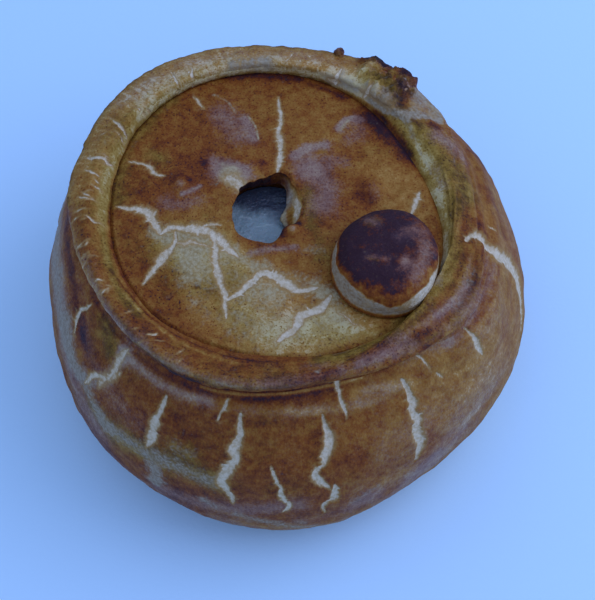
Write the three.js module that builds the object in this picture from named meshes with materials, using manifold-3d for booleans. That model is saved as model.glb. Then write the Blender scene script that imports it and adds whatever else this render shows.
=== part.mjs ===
/**
 * A hand-raised pork pie, whole and uncut.
 *
 * Four solids: the case (crust and meat as one piece), the lid that lies inside its rolled rim,
 * the pastry button baked on the lid, and the jelly that shows through the steam hole.
 * Millimetres, +Z up, origin at the middle of the footprint on the table.
 *
 * Every outline is a circle with a few slow waves added to its radius. The side of the case is a
 * stack of such outlines joined by one smooth curve at every angle round the pie. Angles are in
 * degrees from +X, anticlockwise seen from above, and -Y is the front.
 */
import * as THREE from "three";
import { ParametricGeometry } from "three/addons/geometries/ParametricGeometry.js";
import { mergeVertices } from "three/addons/utils/BufferGeometryUtils.js";
import Module from "manifold-3d";

const wasm = await Module();
wasm.setup();

// ---------------------------------------------------------------- driving sizes, mm
const BULGE_RADIUS = 59; // the widest part of the side
const EDGE_RADIUS = 48; // outside of the rolled rim
const CREST_RADIUS = 43.2; // top of the rim
const SEAM_RADIUS = 38.8; // where the lid meets the rim
const RIM_HEIGHT = 66; // top of the rim above the table
const SEAM_HEIGHT = 62.2; // edge of the lid above the table
const LID_THICKNESS = 5;
const GAP = 0.3; // between pieces that touch
const JELLY_DEPTH = 6;
const JELLY_RADIUS = 10.7;

const COLUMNS = 84; // facets round the case
const LID_COLUMNS = 72;
const BUTTON_COLUMNS = 44;

// Slow waves on each outline: [lobes, height in mm, phase in degrees].
const WAVES = {
  body: [[1, 3.0, -7], [2, 0.3, 105], [3, 0.6, 5], [4, 0.4, -15], [5, 0.3, -55], [6, 0.25, -105]],
  edge: [[1, 2.3, 70], [2, 1.0, -85], [4, 1.15, -150], [5, 0.7, -145]],
  crest: [[1, 1.5, -115], [2, 0.3, -170], [3, 0.6, 45], [4, 0.2, 5]],
  seam: [[1, 1.3, 75], [2, 1.85, -97], [3, 1.1, -75], [4, 0.4, -125], [5, 0.2, -60]],
  hole: [[2, 0.4, 150], [3, 0.2, 40], [5, 0.2, 100], [8, 0.15, 10]],
  button: [[2, 0.35, 175], [3, 0.15, 170], [5, 0.12, 20]],
};

// The outside of the case from the table up and over to the lid: radius and height of each ring,
// the outlines it follows, and how far the flat stretch on the right moves it out and down.
const SIDE = [
  { radius: 46.5, height: 0, follows: { body: 1 } }, // foot
  { radius: 51.3, height: 1.5, follows: { body: 1 } }, // heel
  { radius: 56, height: 8.5, follows: { body: 1 } },
  { radius: BULGE_RADIUS, height: 20.5, follows: { body: 1 } },
  { radius: 57.1, height: 40, follows: { body: 0.75, edge: 0.25 }, flatOut: 0.6 },
  { radius: EDGE_RADIUS + 1.3, height: 55.4, follows: { edge: 1 }, flatOut: 5.2 }, // shoulder
  { radius: EDGE_RADIUS - 2.2, height: 59, follows: { edge: 1 }, flatOut: 5.2 }, // crease
  { radius: EDGE_RADIUS, height: 62.6, follows: { edge: 1 } },
  { radius: CREST_RADIUS, height: RIM_HEIGHT, follows: { crest: 1 }, flatDown: 0.8 },
  { radius: 41, height: 64.3, follows: { crest: 0.5, seam: 0.5 }, flatDown: 0.5 },
  { radius: SEAM_RADIUS, height: SEAM_HEIGHT, follows: { seam: 1 } },
];
const STEPS = 2; // facets between two rings
const FLAT_MIDDLE = -2; // degrees, middle of the stretch where rim and shoulder run together
const FLAT_HALF_ANGLE = 46;
const FLAT_FADE = 26;

const HOLE = { x: -0.9, y: 1.5, radius: 8.6 };
const HOLE_WEAR = 0.7; // how far the hole's edge is worn down
const BUTTON = { x: 25.8, y: -14.4, radius: 12.3, height: 10.2 };
const LID_DOME = 0.9;

// Low swells and dents of the lid: place, radius of the swell, height.
const SWELLS = [
  { x: -21.1, y: 7.7, size: 2.4, height: 0.9 }, // blister
  { x: 24, y: 6.6, size: 2.6, height: 1 }, // blister
  { x: -17, y: -11, size: 10, height: 1 },
  { x: 2, y: -24, size: 9, height: 0.7 },
  { x: 8, y: 24, size: 10, height: 0.5 },
  { x: BUTTON.x, y: BUTTON.y, size: 15, height: -0.9 }, // dent under the button
  { x: 5, y: -4.8, size: 2.2, height: 1.3 }, // baked drip on the edge of the hole
  { x: -1, y: -9.6, size: 2.6, height: 0.7 },
];

// Splits in the side: points as [angle, height], width and depth in mm.
const SIDE_SPLITS = [
  { points: [[206, 55], [204, 51.5], [205, 48.4], [207, 45.8]], width: 1.1, depth: 0.8 },
  { points: [[224, 55.4], [224, 51.5], [222, 46.2], [221, 43.5]], width: 2.3, depth: 1.1 },
  { points: [[241, 52.6], [240, 47.1], [240, 42.2], [239, 37.5]], width: 2, depth: 1.2 },
  { points: [[262, 53.2], [261.5, 46.6], [260, 40], [261, 32.7], [260, 28]], width: 2.3, depth: 1.3 },
  { points: [[270, 43], [272, 36.7], [274, 30], [273, 26.5]], width: 1.4, depth: 0.9 },
  { points: [[284, 52], [284, 46.6], [281, 41], [283, 35.2], [282, 25]], width: 1.9, depth: 1.2 },
  { points: [[307, 53.6], [307.5, 48.2], [306, 41.8], [305, 31.5]], width: 2, depth: 1.2 },
  { points: [[328, 55], [328.5, 52], [328, 48]], width: 1.2, depth: 0.8 },
  { points: [[352.5, 57.1], [352.5, 52.2], [350, 42.5], [347, 37.5]], width: 2.4, depth: 1.2 },
];

// Splits in the lid: points as [x, y].
const LID_SPLITS = [
  { points: [[-35, 2.4], [-30.2, 1.7], [-26, -3.4], [-18.8, -3.8], [-12, -3.6]], width: 1.8, depth: 0.9 },
  { points: [[-22.3, -5.7], [-24.3, -11.8], [-29, -18]], width: 1.7, depth: 0.9 },
  { points: [[-13.3, -11.8], [-10.5, -21], [-10, -26.5]], width: 1.2, depth: 0.8 },
  { points: [[-9.6, -21.6], [-5.6, -18.9], [-0.2, -15.5], [4.8, -19.4], [10, -19.9]], width: 1.4, depth: 0.8 },
  { points: [[13.2, -22.6], [8.4, -25.6], [5.1, -29.9], [1.5, -32]], width: 1.6, depth: 0.9 },
  { points: [[1.6, 33.3], [1.4, 22.2], [2, 13]], width: 1.2, depth: 0.9 },
  { points: [[34, 5.4], [32.8, 0.6]], width: 1.1, depth: 0.7 },
  { points: [[-33.2, 15], [-25.2, 10.3]], width: 1.1, depth: 0.7 },
];
const SPLIT_STEP = 3.2; // mm between two sections of a split
const SPLIT_RISE = 1; // how far the cutter stands out of the crust
const SPLIT_FLOOR = 0.45; // width of its floor, as a share of the mouth
const SPLIT_TIP = 0.18; // width at its ends, as a share of the widest
const SPLIT_SWAY = { height: 0.2, lobes: 9 }; // how its width swells and narrows along it
const SPLIT_TOP = 5.2; // the ring, counted from the foot, that no split in the side gets above
const STEP_ALONG = 0.02; // share of a split's length over which its direction is found
const STEP_ASIDE = 0.02; // radians, for the way out of the side
const STEP_UP = 0.5; // mm, for the same

// Gravy that boiled over and baked into a crag on the rim, at the back on the right.
const CRAG = { from: 44, to: 65, lumps: 10, radius: 47.2, height: 63.3, lump: 3.4, swing: 1.2, rise: 0.6 };
const CRUMB = { angle: 71, radius: 47.8, height: 63.9, size: 1.5, turn: 2 }; // a loose one beside it

// Rings of the lid from the hole to the seam, as shares of the way, and of the button from its
// foot to the middle of its top, as shares of its radius and height.
const LID_SHARES = [0, 0.1, 0.22, 0.38, 0.56, 0.74, 0.9, 1];
const BUTTON_RINGS = [
  [0.5, 0], [0.93, 0], [0.99, 0.12], [1, 0.3], [0.985, 0.48], [0.93, 0.68], [0.8, 0.85], [0.56, 0.96], [0.28, 0.99],
];
const JELLY_COLUMNS = 32;
const JELLY_SAG = { share: 0.6, ring: 0.25, middle: 0.4 }; // how far the jelly's top sinks to its middle

// ---------------------------------------------------------------- finishes
const FINISH = {
  case: { color: 0x9c5a26, roughness: 0.62, metalness: 0 },
  lid: { color: 0xb06f33, roughness: 0.55, metalness: 0 },
  button: { color: 0x5a2f22, roughness: 0.5, metalness: 0 },
  jelly: { color: 0x9fa9a8, roughness: 0.2, metalness: 0 },
};

// ---------------------------------------------------------------- outlines
const TURN = 2 * Math.PI;

/** The named outline's waves at an angle, in mm. */
function wave(name, angle) {
  const one = ([lobes, height, phase]) => height * Math.cos(lobes * angle - THREE.MathUtils.degToRad(phase));
  return WAVES[name].map(one).reduce((sum, value) => sum + value, 0);
}

/** 1 on the right of the pie, where the rim runs flat into the shoulder, fading to 0. */
function flatSide(angle) {
  const away = Math.abs(((THREE.MathUtils.radToDeg(angle) - FLAT_MIDDLE + 540) % 360) - 180);
  return THREE.MathUtils.smoothstep((FLAT_HALF_ANGLE - away) / FLAT_FADE, 0, 1);
}

/** A point at a distance and an angle round a centre. */
function round(centre, radius, angle, height) {
  return new THREE.Vector3(centre.x + radius * Math.cos(angle), centre.y + radius * Math.sin(angle), height);
}
const MIDDLE = { x: 0, y: 0 };

/** One ring of the side at an angle. */
function sideRing(ring, angle) {
  const waves = Object.entries(ring.follows).map(([name, share]) => share * wave(name, angle));
  const flat = flatSide(angle);
  const radius = waves.reduce((sum, value) => sum + value, ring.radius + (ring.flatOut ?? 0) * flat);
  return round(MIDDLE, radius, angle, ring.height - (ring.flatDown ?? 0) * flat);
}

/** The curve from the foot to the seam at an angle. */
function sideCurve(angle) {
  return new THREE.CatmullRomCurve3(SIDE.map((ring) => sideRing(ring, angle)), false, "catmullrom", 0.5);
}

/** The place along the side's curve, from 0 to 1, that lies at a height below the shoulder. */
function sidePlace(curve, height) {
  let low = 0;
  let high = SPLIT_TOP / (SIDE.length - 1);
  for (let halving = 0; halving < 24; halving += 1) {
    const middle = (low + high) / 2;
    if (curve.getPoint(middle).z < height) low = middle;
    else high = middle;
  }
  return low;
}

const seamRadius = (angle) => SEAM_RADIUS + wave("seam", angle);

/** Height of the lid's upper face: a low dome between hole and seam, with its swells. */
function lidTop(x, y) {
  const reach = Math.min(1, Math.hypot(x, y) / seamRadius(Math.atan2(y, x)));
  const dome = LID_DOME * (1 - reach ** 2);
  const swell = ({ x: cx, y: cy, size, height }) =>
    height * Math.exp(-(((x - cx) ** 2 + (y - cy) ** 2) / size ** 2));
  const fade = 1 - reach ** 8;
  return SEAM_HEIGHT + dome + fade * SWELLS.map(swell).reduce((sum, value) => sum + value, 0);
}

// ---------------------------------------------------------------- solids
/** A closed surface's triangles without those that collapsed at a pole. */
function withoutSlivers(geometry) {
  const kept = [];
  const { array } = geometry.getIndex();
  for (let at = 0; at < array.length; at += 3) {
    const [a, b, c] = array.slice(at, at + 3);
    if (a !== b && b !== c && c !== a) kept.push(a, b, c);
  }
  geometry.setIndex(kept);
  return geometry;
}

/** A three.js geometry as a solid, turned the right way out. */
function solid(geometry) {
  geometry.deleteAttribute("normal");
  geometry.deleteAttribute("uv");
  const merged = withoutSlivers(mergeVertices(geometry, 1e-4));
  const vertProperties = merged.getAttribute("position").array;
  const triVerts = Uint32Array.from(merged.getIndex().array);
  let volume = 0;
  const corner = (index) => new THREE.Vector3().fromArray(vertProperties, 3 * index);
  for (let at = 0; at < triVerts.length; at += 3) {
    const [a, b, c] = [corner(triVerts[at]), corner(triVerts[at + 1]), corner(triVerts[at + 2])];
    volume += a.dot(b.cross(c));
  }
  if (volume < 0) triVerts.reverse();
  return new wasm.Manifold(new wasm.Mesh({ numProp: 3, vertProperties, triVerts }));
}

/** The skin through a stack of rings, each a list of points; one point is a pole. */
function skin(rings, columns, closed = false) {
  const rows = closed ? rings.length : rings.length - 1;
  const place = (u, v, target) => {
    const ring = rings[Math.round(v * rows) % rings.length];
    target.copy(ring[Math.round(u * columns) % ring.length]);
  };
  return solid(new ParametricGeometry(place, columns, rows));
}

/** A ring of points from a function of the angle. */
const ringOf = (columns, point) => Array.from({ length: columns }, (_, i) => point((i / columns) * TURN));

/** A solid as a named three.js mesh. */
function meshOf(name, body) {
  const { vertProperties, triVerts } = body.getMesh();
  const geometry = new THREE.BufferGeometry();
  geometry.setAttribute("position", new THREE.BufferAttribute(vertProperties, 3));
  geometry.setIndex(new THREE.BufferAttribute(triVerts, 1));
  geometry.computeVertexNormals();
  const mesh = new THREE.Mesh(geometry, new THREE.MeshStandardMaterial(FINISH[name]));
  mesh.name = name;
  return mesh;
}

/**
 * A split's cutter: a strip along a curve on the crust, with a wide mouth just outside it, a
 * narrower floor below it, and both ends drawn to a point.
 * frames gives, at a place from 0 to 1, a point on the crust and the way out of it.
 */
function splitCutter(frames, length, { width, depth }) {
  const sections = Math.max(4, Math.round(length / SPLIT_STEP));
  const rings = [];
  for (let i = 0; i <= sections; i += 1) {
    const at = i / sections;
    const here = frames(at);
    const before = frames(Math.max(0, at - STEP_ALONG)).point;
    const along = frames(Math.min(1, at + STEP_ALONG)).point.clone().sub(before);
    const across = new THREE.Vector3().crossVectors(here.out, along).normalize();
    const sway = 1 + SPLIT_SWAY.height * Math.sin(SPLIT_SWAY.lobes * at + length);
    const taper = SPLIT_TIP + (1 - SPLIT_TIP) * Math.sin(Math.PI * at) ** 0.6 * sway;
    const mouth = (width / 2) * taper * (1 + SPLIT_RISE / width);
    const floor = (width / 2) * taper * SPLIT_FLOOR;
    const corner = (side, out) => here.point.clone().addScaledVector(across, side).addScaledVector(here.out, out);
    const low = -depth * Math.min(1, 0.4 + taper);
    rings.push([corner(mouth, SPLIT_RISE), corner(floor, low), corner(-floor, low), corner(-mouth, SPLIT_RISE)]);
  }
  const cap = (ring) => [ring.reduce((sum, point) => sum.add(point), new THREE.Vector3()).divideScalar(4)];
  return skin([cap(rings[0]), ...rings, cap(rings.at(-1))], 4);
}

/** The cutter of a split in the side, whose points are angles and heights. */
function sideSplit(split) {
  const path = new THREE.SplineCurve(split.points.map((point) => new THREE.Vector2(...point)));
  const onSide = (angle, height) => {
    const curve = sideCurve(angle);
    return curve.getPoint(sidePlace(curve, height));
  };
  const frames = (at) => {
    const { x, y: height } = path.getPoint(at);
    const angle = THREE.MathUtils.degToRad(x);
    const point = onSide(angle, height);
    const aside = onSide(angle + STEP_ASIDE, height).sub(point);
    const up = onSide(angle, height + STEP_UP).sub(point);
    return { point, out: aside.cross(up).normalize() };
  };
  const heights = split.points.map(([, height]) => height);
  return splitCutter(frames, Math.max(...heights) - Math.min(...heights), split);
}

/** The cutter of a split in the lid, whose points are plan positions. */
function lidSplit(split) {
  const path = new THREE.SplineCurve(split.points.map((point) => new THREE.Vector2(...point)));
  const out = new THREE.Vector3(0, 0, 1);
  const frames = (at) => {
    const { x, y } = path.getPoint(at);
    return { point: new THREE.Vector3(x, y, lidTop(x, y)), out };
  };
  return splitCutter(frames, path.getLength(), split);
}

/** One crumb of the crag: a squashed, turned ball. */
function lump(place, radius, turn) {
  const ball = new THREE.IcosahedronGeometry(radius, 1);
  ball.scale(1, 0.85, 0.7);
  ball.rotateX(turn);
  ball.rotateZ(2.4 * turn);
  ball.translate(place.x, place.y, place.z);
  return solid(ball);
}

/** The crag's lumps, strewn along the outer half of the rim by the golden angle. */
function cragLumps() {
  const lumps = Array.from({ length: CRAG.lumps }, (_, i) => {
    const share = i / (CRAG.lumps - 1);
    const angle = THREE.MathUtils.degToRad(CRAG.from + share * (CRAG.to - CRAG.from));
    const swing = Math.sin(2.4 * i);
    const size = CRAG.lump * (0.6 + 0.4 * Math.sin(Math.PI * (0.1 + 0.8 * share))) * (1 + 0.12 * swing);
    const radius = CRAG.radius + CRAG.swing * swing;
    return lump(round(MIDDLE, radius, angle, CRAG.height + CRAG.rise * Math.cos(3.1 * i)), size, i);
  });
  const beside = round(MIDDLE, CRUMB.radius, THREE.MathUtils.degToRad(CRUMB.angle), CRUMB.height);
  return [...lumps, lump(beside, CRUMB.size, CRUMB.turn)];
}

/** Crust and meat as one solid, with the recess for the lid and the pocket for the jelly. */
function makeCase() {
  const curves = ringOf(COLUMNS, sideCurve);
  const rows = (SIDE.length - 1) * STEPS;
  const outside = Array.from({ length: rows + 1 }, (_, i) => curves.map((curve) => curve.getPoint(i / rows)));
  const floor = SEAM_HEIGHT - LID_THICKNESS;
  const pocket = floor - JELLY_DEPTH - GAP;
  const wall = JELLY_RADIUS + GAP;
  const body = skin([
    [new THREE.Vector3(0, 0, 0)],
    ...outside,
    ringOf(COLUMNS, (angle) => round(MIDDLE, seamRadius(angle), angle, floor)),
    ringOf(COLUMNS, (angle) => round(HOLE, wall, angle, floor)),
    ringOf(COLUMNS, (angle) => round(HOLE, wall, angle, pocket)),
    [new THREE.Vector3(HOLE.x, HOLE.y, pocket)],
  ], COLUMNS);
  const crusted = cragLumps().reduce((sum, piece) => sum.add(piece), body);
  return SIDE_SPLITS.reduce((rest, split) => rest.subtract(sideSplit(split)), crusted);
}

/** The lid: a disc of pastry inside the rim, holed and split. */
function makeLid() {
  const under = SEAM_HEIGHT - LID_THICKNESS + GAP;
  const holeAt = (angle) => round(HOLE, HOLE.radius + wave("hole", angle), angle, 0);
  const edgeAt = (angle) => round(MIDDLE, seamRadius(angle) - GAP, angle, 0);
  const upper = LID_SHARES.map((share) => ringOf(LID_COLUMNS, (angle) => {
    const point = holeAt(angle).lerp(edgeAt(angle), share);
    const worn = share === 0 ? HOLE_WEAR : 0;
    return point.setZ(lidTop(point.x, point.y) - worn);
  }));
  const lower = [1, 0].map((share) => ringOf(LID_COLUMNS, (angle) =>
    holeAt(angle).lerp(edgeAt(angle), share).setZ(under)));
  const disc = skin([...upper, ...lower], LID_COLUMNS, true);
  return LID_SPLITS.reduce((rest, split) => rest.subtract(lidSplit(split)), disc);
}

/** The button: a thick round of pastry with a domed top, its underside shaped to the lid. */
function makeButton() {
  const ring = (share, height) => ringOf(BUTTON_COLUMNS, (angle) => {
    const point = round(BUTTON, share * (BUTTON.radius + wave("button", angle)), angle, 0);
    return point.setZ(lidTop(point.x, point.y) + GAP + height);
  });
  const level = lidTop(BUTTON.x, BUTTON.y) + GAP;
  return skin([
    [new THREE.Vector3(BUTTON.x, BUTTON.y, level)],
    ...BUTTON_RINGS.map(([share, height]) => ring(share, height * BUTTON.height)),
    [new THREE.Vector3(BUTTON.x, BUTTON.y, level + BUTTON.height)],
  ], BUTTON_COLUMNS);
}

/** The plug of jelly that fills the pocket below the steam hole. */
function makeJelly() {
  const top = SEAM_HEIGHT - LID_THICKNESS;
  const ring = (radius, height) => ringOf(JELLY_COLUMNS, (angle) => round(HOLE, radius, angle, height));
  return skin([
    [new THREE.Vector3(HOLE.x, HOLE.y, top - JELLY_DEPTH)],
    ring(JELLY_RADIUS, top - JELLY_DEPTH),
    ring(JELLY_RADIUS, top),
    ring(JELLY_SAG.share * JELLY_RADIUS, top - JELLY_SAG.ring),
    [new THREE.Vector3(HOLE.x, HOLE.y, top - JELLY_SAG.middle)],
  ], JELLY_COLUMNS);
}

// ---------------------------------------------------------------- the pie
const pie = new THREE.Group();
pie.add(meshOf("case", makeCase()));
pie.add(meshOf("lid", makeLid()));
pie.add(meshOf("button", makeButton()));
pie.add(meshOf("jelly", makeJelly()));

// Stand the pie over the origin.
const box = new THREE.Box3().setFromObject(pie, true);
const middle = box.getCenter(new THREE.Vector3());
pie.position.set(-middle.x, -middle.y, -box.min.z);

export default pie;
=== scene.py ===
"""The looks of a hand-raised pork pie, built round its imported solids.

Five kinds of surface make the pie: the wall of the case, its rolled rim with the baked-on crag,
the lid, the button and the jelly in the steam hole. Each is worked out on a grid from the named
sizes that its solid has. Lengths are millimetres and angles run from +X, anticlockwise seen from
above, until a mesh is made, in metres. The front of the pie looks towards -Y.
"""
from __future__ import annotations
import itertools
import logging
import math
from dataclasses import dataclass, field
from enum import Enum
import bmesh
import bpy
import numpy as np
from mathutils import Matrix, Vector
from numpy.typing import NDArray

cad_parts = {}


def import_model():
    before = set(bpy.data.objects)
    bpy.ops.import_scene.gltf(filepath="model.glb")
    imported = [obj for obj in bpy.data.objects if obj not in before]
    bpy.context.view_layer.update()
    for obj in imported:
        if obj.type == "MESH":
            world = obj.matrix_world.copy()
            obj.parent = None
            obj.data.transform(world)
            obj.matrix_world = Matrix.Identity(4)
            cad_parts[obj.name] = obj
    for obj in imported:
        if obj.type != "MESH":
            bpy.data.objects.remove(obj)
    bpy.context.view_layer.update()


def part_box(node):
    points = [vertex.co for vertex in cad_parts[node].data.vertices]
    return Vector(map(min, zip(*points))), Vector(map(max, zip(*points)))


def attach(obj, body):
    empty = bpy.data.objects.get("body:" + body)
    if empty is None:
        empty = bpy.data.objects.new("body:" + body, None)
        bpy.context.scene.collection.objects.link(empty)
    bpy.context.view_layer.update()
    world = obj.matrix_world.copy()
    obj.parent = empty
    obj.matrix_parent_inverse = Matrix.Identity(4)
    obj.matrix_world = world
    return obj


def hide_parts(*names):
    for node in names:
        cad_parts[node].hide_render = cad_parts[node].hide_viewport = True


Array = NDArray[np.float64]
Span = tuple[float, float]
Triple = tuple[float, float, float]
Points = tuple[Span, ...]
Colour = Triple
Piece = bpy.types.Object
Material = bpy.types.Material
Socket = bpy.types.NodeSocket
log = logging.getLogger("pork_pie")
MM = 0.001
TURN = 2.0 * math.pi
BODY = "root"


# --- numbers and noise
def ease(value: Array, low: float, high: float) -> Array:
    """0 at low and before, 1 at high and after, and the smooth step 3t^2 - 2t^3 between them."""
    share = np.clip((value - low) / (high - low), 0.0, 1.0)
    return share * share * (3.0 - 2.0 * share)


def bell(distance: Array, size: float) -> Array:
    """The bell curve exp(-(distance / size)^2)."""
    return np.exp(-((distance / size) ** 2))


def away(angle: Array, middle: float) -> Array:
    """Degrees from a middle angle to an angle in radians, from -180 to 180."""
    return (np.degrees(angle) - middle + 180.0) % 360.0 - 180.0


FIRST_CELL = -8192
PRIMES = (73856093, 19349663, 83492791)
SEED_PRIME = 2654435761
SEED_START = 97
SHIFTS = (15, 13, 16)
LAST_SHIFT = 21
STIRRER = 0x2C1B3C6D
LOW_BITS = 0xFFFFFF


def hashed(cells: NDArray[np.int64], seed: int) -> Array:
    """Values from -1 to 1 that look random and depend only on whole cell numbers and a seed.

    The three numbers are multiplied by large primes, joined by exclusive or, and stirred by
    shifts and products.

    Args:
        cells: Whole numbers, with the three of a cell along the last axis.
        seed: Another whole number, so that two noises differ.

    Returns:
        One value for each cell.
    """
    whole = (cells - FIRST_CELL).astype(np.uint64)
    stirred = np.full(cells.shape[:-1], seed * SEED_PRIME + SEED_START, dtype=np.uint64)
    for axis, prime in enumerate(PRIMES):
        stirred ^= whole[..., axis] * np.uint64(prime)
    for shift in SHIFTS:
        stirred ^= stirred >> np.uint64(shift)
        stirred *= np.uint64(STIRRER)
    stirred ^= stirred >> np.uint64(LAST_SHIFT)
    return (stirred & np.uint64(LOW_BITS)).astype(float) / float(LOW_BITS >> 1) - 1.0


def grain(points: Array, size: float, seed: int) -> Array:
    """Smooth noise from -1 to 1.

    Space is cut into cubes of a size, each corner has a random value, and a point gets the mean
    of its cube's eight corners, weighted by the fade 6t^5 - 15t^4 + 10t^3 along each axis.

    Args:
        points: Places in mm, with x, y and z along the last axis.
        size: Edge of a cube in mm.
        seed: A whole number, so that two noises differ.

    Returns:
        One value for each point.
    """
    cell = points / size
    low = np.floor(cell)
    part = cell - low
    fade = part**3 * (part * (6.0 * part - 15.0) + 10.0)
    corner_cells = low.astype(np.int64)
    total = np.zeros(points.shape[:-1])
    for corner in itertools.product((0, 1), repeat=3):
        weight = np.prod(np.where(corner, fade, 1.0 - fade), axis=-1)
        total += weight * hashed(corner_cells + np.array(corner), seed)
    return total


def cloud(points: Array, size: float, seed: int, octaves: int = 3) -> Array:
    """Noise with finer noise on it: each octave is half as large and half as strong."""
    layers = [grain(points * 2.0**octave, size, seed + octave) / 2.0**octave for octave in range(octaves)]
    return sum(layers) / (2.0 - 2.0 ** (1 - octaves))


def wander(along: Array, size: float, seed: int) -> Array:
    """Smooth noise from -1 to 1 along a line, from a distance in mm."""
    return grain(np.stack([along, np.zeros_like(along), np.zeros_like(along)], axis=-1), size, seed)


@dataclass(frozen=True)
class Layer:
    """A layer of noise: its strength, the size of its blobs in mm, its octaves, and its own seed."""

    strength: float
    size: float
    octaves: int
    seed: int


def pile(points: Array, seed: int, *layers: Layer) -> Array:
    """The sum of layers of noise at points."""
    return sum(one.strength * cloud(points, one.size, seed + one.seed, one.octaves) for one in layers)


@dataclass(frozen=True)
class Lobe:
    """A bell round the pie: its middle and its spread in degrees, and its height."""

    middle: float
    spread: float
    height: float = 1.0

    def at(self, angle: Array) -> Array:
        """The lobe's height at angles in radians."""
        return self.height * bell(away(angle, self.middle), self.spread)


def lobes_at(angle: Array, lobes: tuple[Lobe, ...]) -> Array:
    """The sum of lobes at angles in radians."""
    return sum(lobe.at(angle) for lobe in lobes)


def between(value: Array, low: float, start: float, end: float, high: float) -> Array:
    """1 from start to end, with smooth flanks that reach 0 at low and at high."""
    return ease(value, low, start) * (1.0 - ease(value, end, high))


def read_off(table: Points, at: Array) -> Array:
    """A table's value at places, straight between its pairs of place and value."""
    return np.interp(at, *np.array(table).T)


def catmull_rom(a: Array, b: Array, c: Array, d: Array, t: Array) -> Array:
    """The uniform Catmull-Rom spline from b at t = 0 to c at t = 1, with a before and d after."""
    return 0.5 * (2 * b + (c - a) * t + (2 * a - 5 * b + 4 * c - d) * t**2 + (3 * b - 3 * c + d - a) * t**3)


# --- the pie's form
class Course(Enum):
    """The outlines that the crust follows, as slow waves: lobes, height in mm, phase in degrees."""

    BODY = ((1, 3.0, -7), (2, 0.3, 105), (3, 0.6, 5), (4, 0.4, -15), (5, 0.3, -55), (6, 0.25, -105))
    EDGE = ((1, 2.3, 70), (2, 1.0, -85), (4, 1.15, -150), (5, 0.7, -145))
    CREST = ((1, 1.5, -115), (2, 0.3, -170), (3, 0.6, 45), (4, 0.2, 5))
    SEAM = ((1, 1.3, 75), (2, 1.85, -97), (3, 1.1, -75), (4, 0.4, -125), (5, 0.2, -60))
    HOLE = ((2, 0.4, 150), (3, 0.2, 40), (5, 0.2, 100), (8, 0.15, 10))
    BUTTON = ((2, 0.35, 175), (3, 0.15, 170), (5, 0.12, 20))

    def swing(self, angle: Array) -> Array:
        """How far outside its circle an outline lies: the sum of height * cos(lobes * angle - phase)."""
        waves = (height * np.cos(lobes * angle - math.radians(phase)) for lobes, height, phase in self.value)
        return sum(waves)


@dataclass(frozen=True)
class Ring:
    """A level of the case's outside: radius and height in mm, and the outlines that it follows.

    flat_out and flat_down say how far the flat stretch on the right moves it out and down.
    """

    radius: float
    height: float
    follows: tuple[tuple[Course, float], ...]
    flat_out: float = 0.0
    flat_down: float = 0.0


@dataclass(frozen=True)
class Swell:
    """A low bump or dent of the lid: its place, the radius of the bell curve, and its height."""

    x: float
    y: float
    size: float
    height: float


# Places on the case's profile, as numbers of PieForm.rings.
SHOULDER = 5.0
EDGE = 7.0
CREST = 8.0
SEAM = 10.0
PLACE_STEP = 1.0 / 60.0  # between the places that a height or a radius is looked up in


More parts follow.
